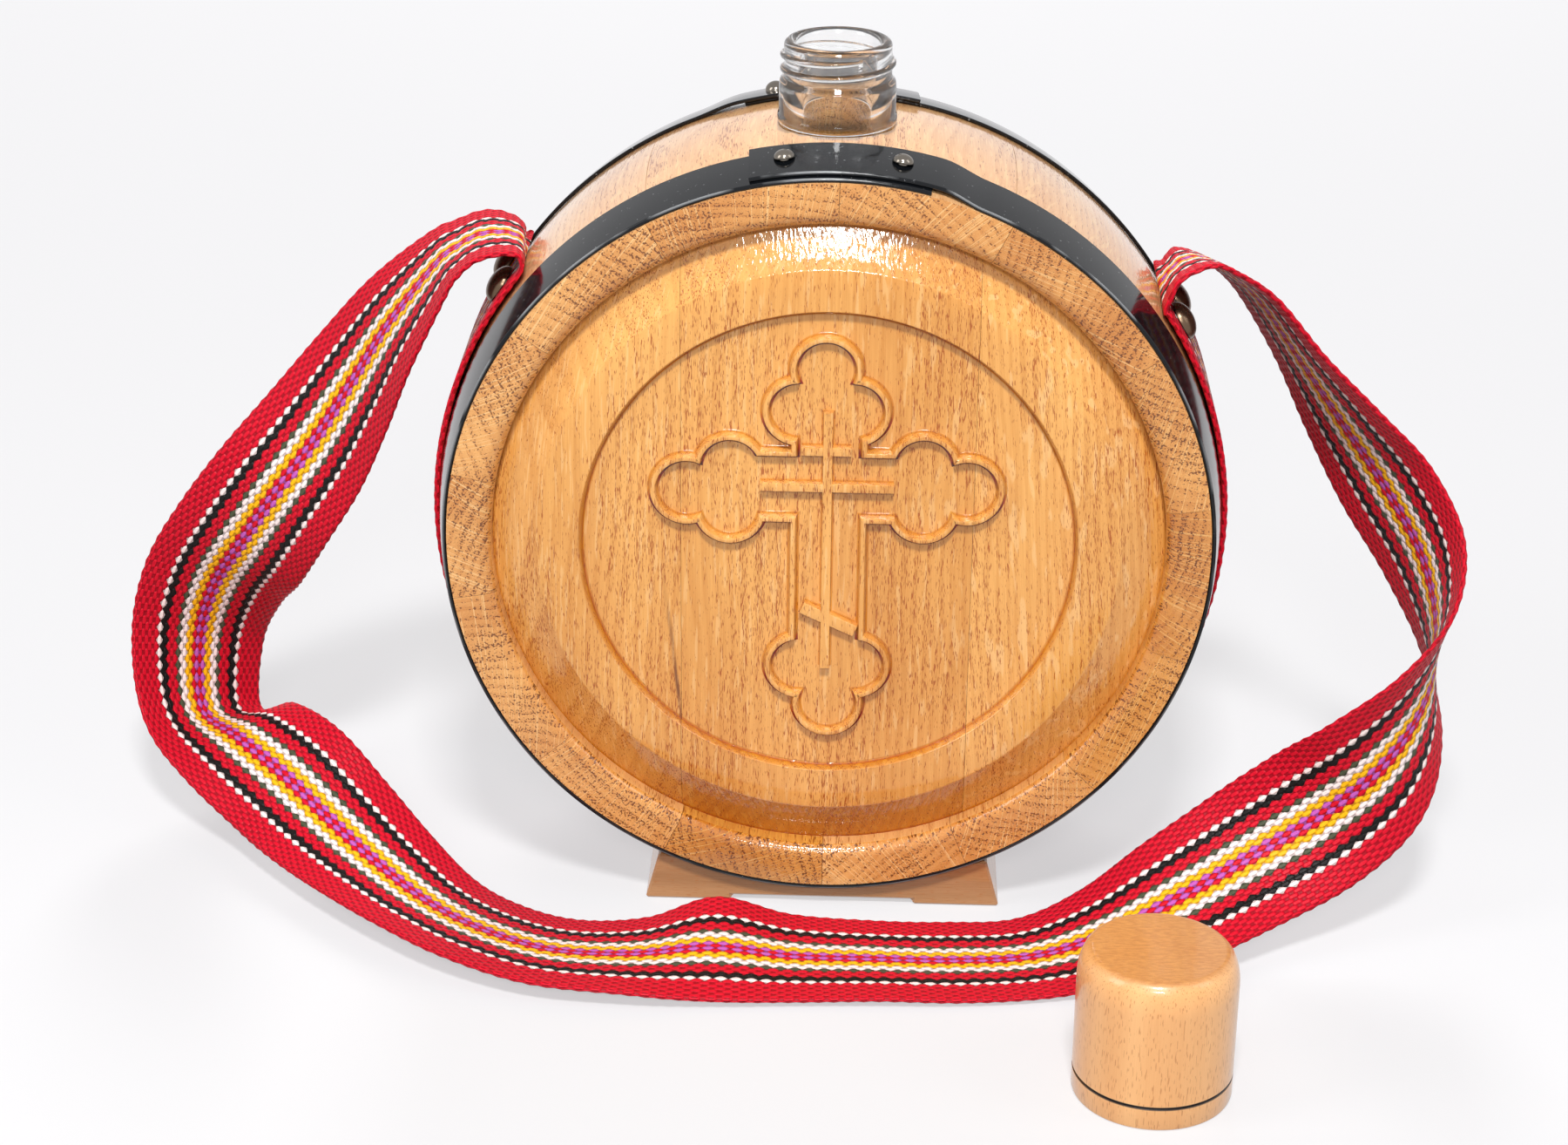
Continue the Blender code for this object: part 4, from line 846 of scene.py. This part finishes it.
# Outline ridge: as high as the field is deep, with a flat top, steep sides and hollow corners at its foot,
# which are darkened as painted shade
foot_side = [(1.70, -0.1, 0.7), (1.56, 0.02, 2.2), (1.15, 0.12, 3.0), (0.94, 0.60, 1.4), (0.76, 1.30, 0.6),
             (0.62, 2.00, 0.5), (0.54, 2.14, 0.3), (0.42, 2.20, 0.0)]
swept_ridge("cross_outline", outline, both_sides(foot_side, 0.1))
# Inner bars: strips of the same height with steeper sides and the same painted shade at their foot; the
# lowest slants as on the real one
for name, start, end, wide, high in (("cross_upright", (-0.35, 37.3), (-0.35, -34.3), 2.5, 2.20),
                                     ("cross_short_bar", (-7.1, 26.65), (5.6, 26.65), 2.4, 2.12),
                                     ("cross_long_bar", (-17.6, 16.7), (16.6, 16.7), 2.4, 2.12),
                                     ("cross_slanted_bar", (-6.5, -17.1), (7.4, -23.5), 3.3, 2.12)):
    half = wide / 2
    bar_side = [(half + 0.60, -0.1, 0.7), (half + 0.48, 0.02, 2.0), (half + 0.12, 0.12, 2.8),
                (half, 0.6, 1.2), (half - 0.06, high - 0.15, 0.5), (half - 0.16, high - 0.03, 0.2),
                (half - 0.3, high, 0.0)]
    swept_ridge(name, np.linspace(start, end, 24), both_sides(bar_side), closed=False)


# Hoops: black-coated strips of spring steel, 16 mm wide and 1 mm thick, driven on from each side. Their
# ends overlap at the top under two rivets, the outer end a little further in than the ring below it.
hoop_width, hoop_thickness, hoop_edge, hoop_gap = 0.0164, 0.0010, 0.00026, fit / 3
cut_end, hidden_end, hoop_rows = math.radians(12), math.radians(14), 520
climb_before, climb_turn, overlap_shift = math.radians(8), math.radians(7), 0.0014


def add_hoop(side, direction):
    """A strip carried round the barrel: it follows the bulge across its width and climbs its own start."""
    travel = np.linspace(0, 2 * math.pi + cut_end + hidden_end, hoop_rows)
    share = np.clip((travel - (2 * math.pi - climb_before)) / climb_turn, 0, 1)
    rise = share ** 2 * (3 - 2 * share)
    lift = hoop_gap + hoop_thickness / 2 + (hoop_thickness + hoop_gap) * rise
    edge, half = hoop_edge, hoop_thickness / 2
    section = ([(edge * 2.2, half), (edge, half), (0, half - edge), (0, 0), (0, edge - half), (edge, -half)]
               + [(hoop_width * s, -half) for s in (0.25, 0.5, 0.75)]
               + [(hoop_width - edge, -half), (hoop_width, edge - half), (hoop_width, half - edge),
                  (hoop_width - edge, half)] + [(hoop_width * s, half) for s in (0.75, 0.5, 0.25)])
    section = np.array(section)
    # The coat is rubbed through only along the outer edge
    worn = [0, 0.6, 0.3] + [0] * (len(section) - 3)
    axial = half_depth - section[None, :, 0] - overlap_shift * rise[:, None]
    radius = wood_radius(axial) + lift[:, None] + section[None, :, 1]
    clockwise = direction * (hidden_end - travel)[:, None]
    points = round_barrel(radius, axial * direction, clockwise)
    faces = grid_faces(hoop_rows, len(section)).tolist() + end_faces(hoop_rows, len(section))
    hoop = add_piece(f"steel_{side}_hoop", points, faces, coated_steel, sharp=40)
    wear = hoop.data.attributes.new("worn", 'FLOAT', 'POINT')
    wear.data.foreach_set("value", np.tile(worn, hoop_rows).astype(np.float32))
    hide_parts(f"{side}_hoop")


def add_dome(name, node, material, slot, clockwise, axial, seat, tilt, diameter, height, shank, length):
    """A domed head on its shank, a quarter ellipse turned about its axis, standing out from the barrel."""
    angle = np.linspace(math.pi / 2, 0, 12)
    profile = [(diameter / 2 * math.cos(a), height * math.sin(a)) for a in angle]
    profile[0] = (0, height)
    profile += [(diameter / 2 * 0.97, -0.0001), (shank / 2, 0), (shank / 2, -length), (0, -length)]
    dome = turned_piece(name, profile, 40, material, sharp=50)
    outward = Matrix.Rotation(clockwise, 4, 'Y') @ Matrix.Rotation(tilt, 4, 'X')
    dome.data.transform(Matrix.Translation(round_barrel(seat, axial, clockwise)) @ outward)
    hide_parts(node)


def even_finish(name, code, rough, metallic, grain, worn_code):
    """A metal or plastic with fine unevenness in its gloss, and its bare colour where its edges are worn."""
    material, tree = new_material(name)
    # specks about 1 mm and smears about 17 mm across, coarser than the real ones so that they show
    spots, smear = (add_node(tree, "TexNoise", {"Vector": add_node(tree, "TexCoord").outputs["Object"],
                                                "Scale": scale, "Detail": 2.0}) for scale in (900.0, 60.0))
    mixed = add_node(tree, "Math", {0: spots, 1: 0.35, 2: smear}, operation='MULTIPLY_ADD')
    roughness = add_node(tree, "MapRange", {0: mixed, 1: 0.4, 2: 1.0, 3: rough * 0.7, 4: rough * 1.4})
    relief = add_node(tree, "Bump", {"Height": spots, "Distance": 0.00003, "Strength": grain})
    wear = add_node(tree, "Attribute", attribute_name="worn").outputs["Fac"]
    rubbed = add_node(tree, "MapRange", {0: smear, 1: 0.42, 2: 0.55})
    bare_share = add_node(tree, "Math", {0: wear, 1: rubbed}, operation='MULTIPLY')
    speck = add_node(tree, "MapRange", {0: spots, 1: 0.70, 2: 0.74, 4: 0.35})
    shown = add_node(tree, "Math", {0: bare_share, 1: speck}, operation='MAXIMUM')
    coated = add_node(tree, "Mix", {0: shown, 6: colour(code), 7: colour(worn_code)}, data_type='RGBA')
    metal = add_node(tree, "BsdfPrincipled", {
        "Base Color": coated.outputs[2], "Metallic": metallic, "Roughness": roughness,
        "Specular IOR Level": 0.26, "Normal": relief})
    add_node(tree, "OutputMaterial", {"Surface": metal})
    return material


coated_steel = even_finish("black_coated_steel", "#0E1013", 0.10, 0.0, 0.03, "#A9ABAD")
rivet_steel = even_finish("rubbed_rivet_steel", "#7C756C", 0.17, 1.0, 0.3, "#B9B5AD")
# Where the two rivets of a hoop sit, in degrees from its top, and a rivet's head and shank: diameter and
# height, then diameter and length
rivet_angles, rivet_sizes = (-7.0, 9.5), (0.0054, 0.0022, 0.0028, 0.0022)
for side, direction in (("front", 1), ("back", -1)):
    add_hoop(side, direction)
    axial = direction * (half_depth - overlap_shift - hoop_width / 2)
    for part, degrees in zip(("left", "right"), sorted(angle * direction for angle in rivet_angles)):
        seat = wood_radius(axial) + 2 * hoop_thickness + fit
        tilt = -math.atan(2 * end_drop * axial / half_depth ** 2)
        add_dome(f"rivet_{side}_{part}", f"{side}_hoop_rivet_{part}", rivet_steel, "rivet_steel",
                 math.radians(degrees), axial, seat, tilt, *rivet_sizes)


# Strap nails: four upholstery nails with domed heads of brass, darkened to antique bronze and rubbed bright
# on top, driven through the band at both sides of the barrel
antique_brass = even_finish("antique_bronze", "#6E5A48", 0.28, 0.9, 0.4, "#9A8870")
nail_row, nail_sizes = 0.0085, (0.0105, 0.0032, 0.0022, 0.009)
nail_seat = band_radius + strap_thickness / 2 + fit
for side, degrees in (("left", -55.6), ("right", 59.6)):
    for part, axial in (("front", nail_row), ("back", -nail_row)):
        add_dome(f"nail_{side}_{part}", f"strap_nail_{side}_{part}", antique_brass, "bronze_nail",
                 math.radians(degrees), axial, nail_seat, 0.0, *nail_sizes)


# Bottle: a flat round bottle of clear pressed glass inside the barrel, its threaded neck standing out
# between the top two staves. The thread is a rounded ridge that winds down to the right.
clear_glass, tree = new_material("clear_glass")
# Pressed soda-lime glass without a tint: bright, with grey lines where its round edges bend the light
glass = add_node(tree, "BsdfPrincipled", {"Base Color": colour("#FDFEFE"), "Roughness": 0.0, "IOR": 1.48,
                                          "Transmission Weight": 1.0, "Alpha": 0.93})
add_node(tree, "OutputMaterial", {"Surface": glass})
bottle_half, bottle_radius, glass_wall, corner = 0.0270, 0.08801, 0.003, 0.013
neck_top, neck_foot, lip_round = bilge + 0.0208, 0.080, 0.0016
thread_core, neck_radius, bead_radius = 0.0138, 0.01495, 0.01535
bore_over, bore_radius, bore_foot = 0.004, 0.0093, 0.072


def body_section(radius, half, round_radius):
    """Half section of a flat round body with rounded corners, from one pole to the other."""
    angle = np.linspace(math.pi / 2, 0, 9)
    front = [(radius + round_radius * (math.cos(a) - 1), half + round_radius * (math.sin(a) - 1))
             for a in angle]
    return [(0, half)] + front + [(r, -h) for r, h in reversed(front)] + [(0, -half)]


def below_top(*places):
    """Neck points from their radius and their distance below its top."""
    return [(radius, neck_top - drop) for radius, drop in places]


lip_top = [(thread_core - lip_round + lip_round * math.cos(a), neck_top - lip_round + lip_round * math.sin(a))
           for a in np.linspace(math.pi / 2, 0, 8)]
neck_outside = ([(0, neck_top)] + lip_top
                + below_top((thread_core, 0.0090), (0.0141, 0.0098), (0.0147, 0.0103), (neck_radius, 0.0112),
                            (neck_radius, 0.0186), (0.0152, 0.0190), (bead_radius, 0.0198),
                            (bead_radius, 0.0206), (0.0152, 0.0210), (neck_radius, 0.0212))
                + [(neck_radius, neck_foot), (0, neck_foot)])
bore = ([(0, neck_top + bore_over), (0.0120, neck_top + bore_over)]
        + below_top((0.0118, 0.0), (0.0110, 0.0006), (0.0107, 0.0016), (0.0104, 0.006), (bore_radius, 0.0187))
        + [(bore_radius, bore_foot), (0, bore_foot)])
body = body_section(bottle_radius, bottle_half, corner)
bottle = turned_piece("glass_bottle_clear", body, 128, clear_glass, axis="y", at=at_barrel)
cut(bottle, turned_piece("neck_outside", neck_outside, 96, clear_glass, at=at_barrel), 'UNION')

# The thread's section as (out, up) from its core; it runs out at both ends over 40 degrees
windings, thread_pitch, thread_start = 1.75, 0.0036, neck_top - 0.0028
first_angle, run_out, sink = math.radians(-60), math.radians(40), 0.0002
ridge = np.array([(-0.0004, -0.00095), (0.0003, -0.0008), (0.0009, -0.00035), (0.0010, 0.0),
                  (0.0009, 0.00035), (0.0003, 0.0008), (-0.0004, 0.00095)])
wind = np.linspace(0, windings * 2 * math.pi, 150)[:, None]
fade = np.clip(np.minimum(wind, wind[-1] - wind) / run_out, 0, 1) ** 0.5
out, up = ridge.T
thread_radius = thread_core + out * np.where(out > 0, fade, 1) - sink * (1 - fade)
thread_height = thread_start - thread_pitch * wind / (2 * math.pi) + up * (0.35 + 0.65 * fade)
thread_angle = first_angle - wind
thread_points = np.stack([barrel_x + thread_radius * np.cos(thread_angle),
                          middle_y + thread_radius * np.sin(thread_angle), axis_z + thread_height], -1)
thread_faces = grid_faces(len(wind), len(ridge)).tolist() + end_faces(len(wind), len(ridge))
cut(bottle, add_piece("neck_thread", thread_points, thread_faces, clear_glass), 'UNION')
hollow_section = body_section(bottle_radius - glass_wall, bottle_half - glass_wall, corner - glass_wall)
cut(bottle, turned_piece("bottle_hollow", hollow_section, 128, clear_glass, axis="y", at=at_barrel))
cut(bottle, turned_piece("neck_bore", bore, 96, clear_glass, at=at_barrel))
bottle.data.shade_smooth()
bottle.data.set_sharp_from_angle(angle=math.radians(50))
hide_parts("glass_bottle")


# Foot: one sawn block of beech, a pale even wood with short brown flecks, hollowed to the hoops and cut
# away below between its two pads. The barrel rests in it. Its colours are set darker than the wood's own,
# as painted shade for the barrel's shadow over it.
def smooth_beech(name, along, pale, deep, gloss, burnt=None):
    """Beech: dense and even, with short dark ray flecks along the grain and faint growth bands. With burnt,
    the lowest and highest place of a line burnt on the lathe, the top is darker end grain."""
    material, tree = new_material(name)
    place = add_node(tree, "TexCoord").outputs["Object"]
    long_way = {"x": 0, "z": 2}[along]

    def speckle(narrow, long, **settings):
        """Noise whose cells are narrow across the grain and long along it, in millimetres."""
        scale = [1000 / narrow] * 3
        scale[long_way] = 1000 / long
        cells = add_node(tree, "Mapping", {"Vector": place, "Scale": scale})
        return add_node(tree, "TexNoise", {"Vector": cells, "Scale": 1.0, **settings})

    bands = speckle(9, 160, Detail=2.0)
    fibre = speckle(0.3, 9, Detail=2.0)
    flecks = speckle(0.30, 2.2, Detail=0.5)
    fleck = add_node(tree, "MapRange", {0: flecks, 1: 0.63, 2: 0.69}, interpolation_type='SMOOTHSTEP')
    tone = add_node(tree, "Math", {0: fibre, 1: 0.4, 2: bands}, operation='MULTIPLY_ADD')
    wood = add_node(tree, "MapRange", {0: tone, 1: 0.45, 2: 1.05})
    body = add_node(tree, "Mix", {0: wood, 6: colour(pale), 7: colour(deep)}, data_type='RGBA')
    fleck_shown = add_node(tree, "Math", {0: fleck, 1: 0.5}, operation='MULTIPLY')
    flecked = add_node(tree, "Mix", {0: fleck_shown, 6: body.outputs[2], 7: colour("#AC6222")},
                       data_type='RGBA')
    if burnt:
        # Year rings cross the end grain as streaks about 2 mm long and 0.7 mm wide
        facing = add_node(tree, "SeparateXYZ", {0: add_node(tree, "TexCoord").outputs["Normal"]})
        end_grain = add_node(tree, "MapRange", {0: facing.outputs["Z"], 1: 0.55, 2: 0.95, 3: 0.0, 4: 0.75})
        across_top = add_node(tree, "Mapping", {"Vector": place, "Rotation": (0, 0, -0.45),
                                                "Scale": (500, 1600, 1)})
        year_rings = add_node(tree, "TexNoise", {"Vector": across_top, "Scale": 0.9, "Detail": 2.0})
        ring_tone = add_node(tree, "MapRange", {0: year_rings, 1: 0.35, 2: 0.65})
        top_wood = add_node(tree, "Mix", {0: ring_tone, 6: colour("#C88A48"), 7: colour("#AE6E34")},
                            data_type='RGBA')
        flecked = add_node(tree, "Mix", {0: end_grain, 6: flecked.outputs[2], 7: top_wood.outputs[2]},
                           data_type='RGBA')
        low, high = burnt
        up = add_node(tree, "SeparateXYZ", {0: place}).outputs["Z"]
        from_line = add_node(tree, "Math", {0: up, 1: (low + high) / 2}, operation='SUBTRACT')
        off_line = add_node(tree, "Math", {0: from_line}, operation='ABSOLUTE')
        scorch = add_node(tree, "MapRange", {0: off_line, 1: (high - low) * 0.4, 2: (high - low) * 0.8,
                                             3: 1.0, 4: 0.0}, interpolation_type='SMOOTHSTEP')
        flecked = add_node(tree, "Mix", {0: scorch, 6: flecked.outputs[2], 7: colour("#140B06")},
                           data_type='RGBA')
    relief = add_node(tree, "Bump", {"Height": fibre, "Distance": 0.00006, "Strength": 0.5})
    beech = add_node(tree, "BsdfPrincipled", {"Base Color": flecked.outputs[2], "Roughness": gloss,
                                              "Coat Weight": 0.5, "Coat Roughness": 0.08, "Normal": relief})
    add_node(tree, "OutputMaterial", {"Surface": beech})
    return material


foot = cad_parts["foot"]
foot.data.materials.clear()
# Darker than the beech's own colour: painted shade for the barrel's shadow on the foot
foot.data.materials.append(smooth_beech("oiled_beech_foot", "x", "#C89260", "#9C6636", 0.42))


# Cap: beech turned on a lathe and lacquered, with a round shoulder and a line burnt into a groove near its
# open end. A moulded insert of white plastic takes the neck's thread, and a foam disc seals it.
cap_radius, cap_height, cap_flat = 0.01975, 0.0394, 0.0158
shoulder_width, shoulder_drop = 0.00365, 0.0082
groove_high, groove_low, groove_depth = 0.00675, 0.00585, 0.00055
cap_bore, cap_bore_height = 0.0168, 0.0238
burnt_line = (0.0059, 0.0067)
cap_low, cap_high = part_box("cap_shell")
cap_x, cap_y = (cap_low.x + cap_high.x) / 2, (cap_low.y + cap_high.y) / 2
cap_beech = smooth_beech("lacquered_beech_cap", "z", "#F2B87A", "#E2A061", 0.33, burnt=burnt_line)
shoulder = [(cap_radius + shoulder_width * (math.sin(a) - 1), cap_height - shoulder_drop * (1 - math.cos(a)))
            for a in np.linspace(0, math.pi / 2, 14)]
cap_section = ([(0, cap_height), (0.008, cap_height), (cap_flat, cap_height)] + shoulder
               + [(cap_radius, 0.020), (cap_radius, groove_high), (cap_radius - groove_depth, 0.0064),
                  (cap_radius - groove_depth, 0.0062), (cap_radius, groove_low), (cap_radius, 0.0010),
                  (0.01955, 0.0003), (0.0191, 0), (cap_bore, 0), (cap_bore, cap_bore_height),
                  (0, cap_bore_height)])
cap = turned_piece("beech_cap_shell", cap_section, 128, cap_beech, at=(cap_x, cap_y, 0), body="cap", sharp=30)
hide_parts("cap_shell")
insert_plastic = even_finish("white_moulded_plastic", "#E6E4DF", 0.35, 0.0, 0.2, "#F4F2EE")
liner_foam = even_finish("white_foam_liner", "#EFEDE8", 0.7, 0.0, 1.0, "#F8F6F2")
for node, material in (("cap_insert", insert_plastic), ("cap_liner", liner_foam)):
    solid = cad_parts[node]
    solid.data.materials.clear()
    solid.data.materials.append(material)
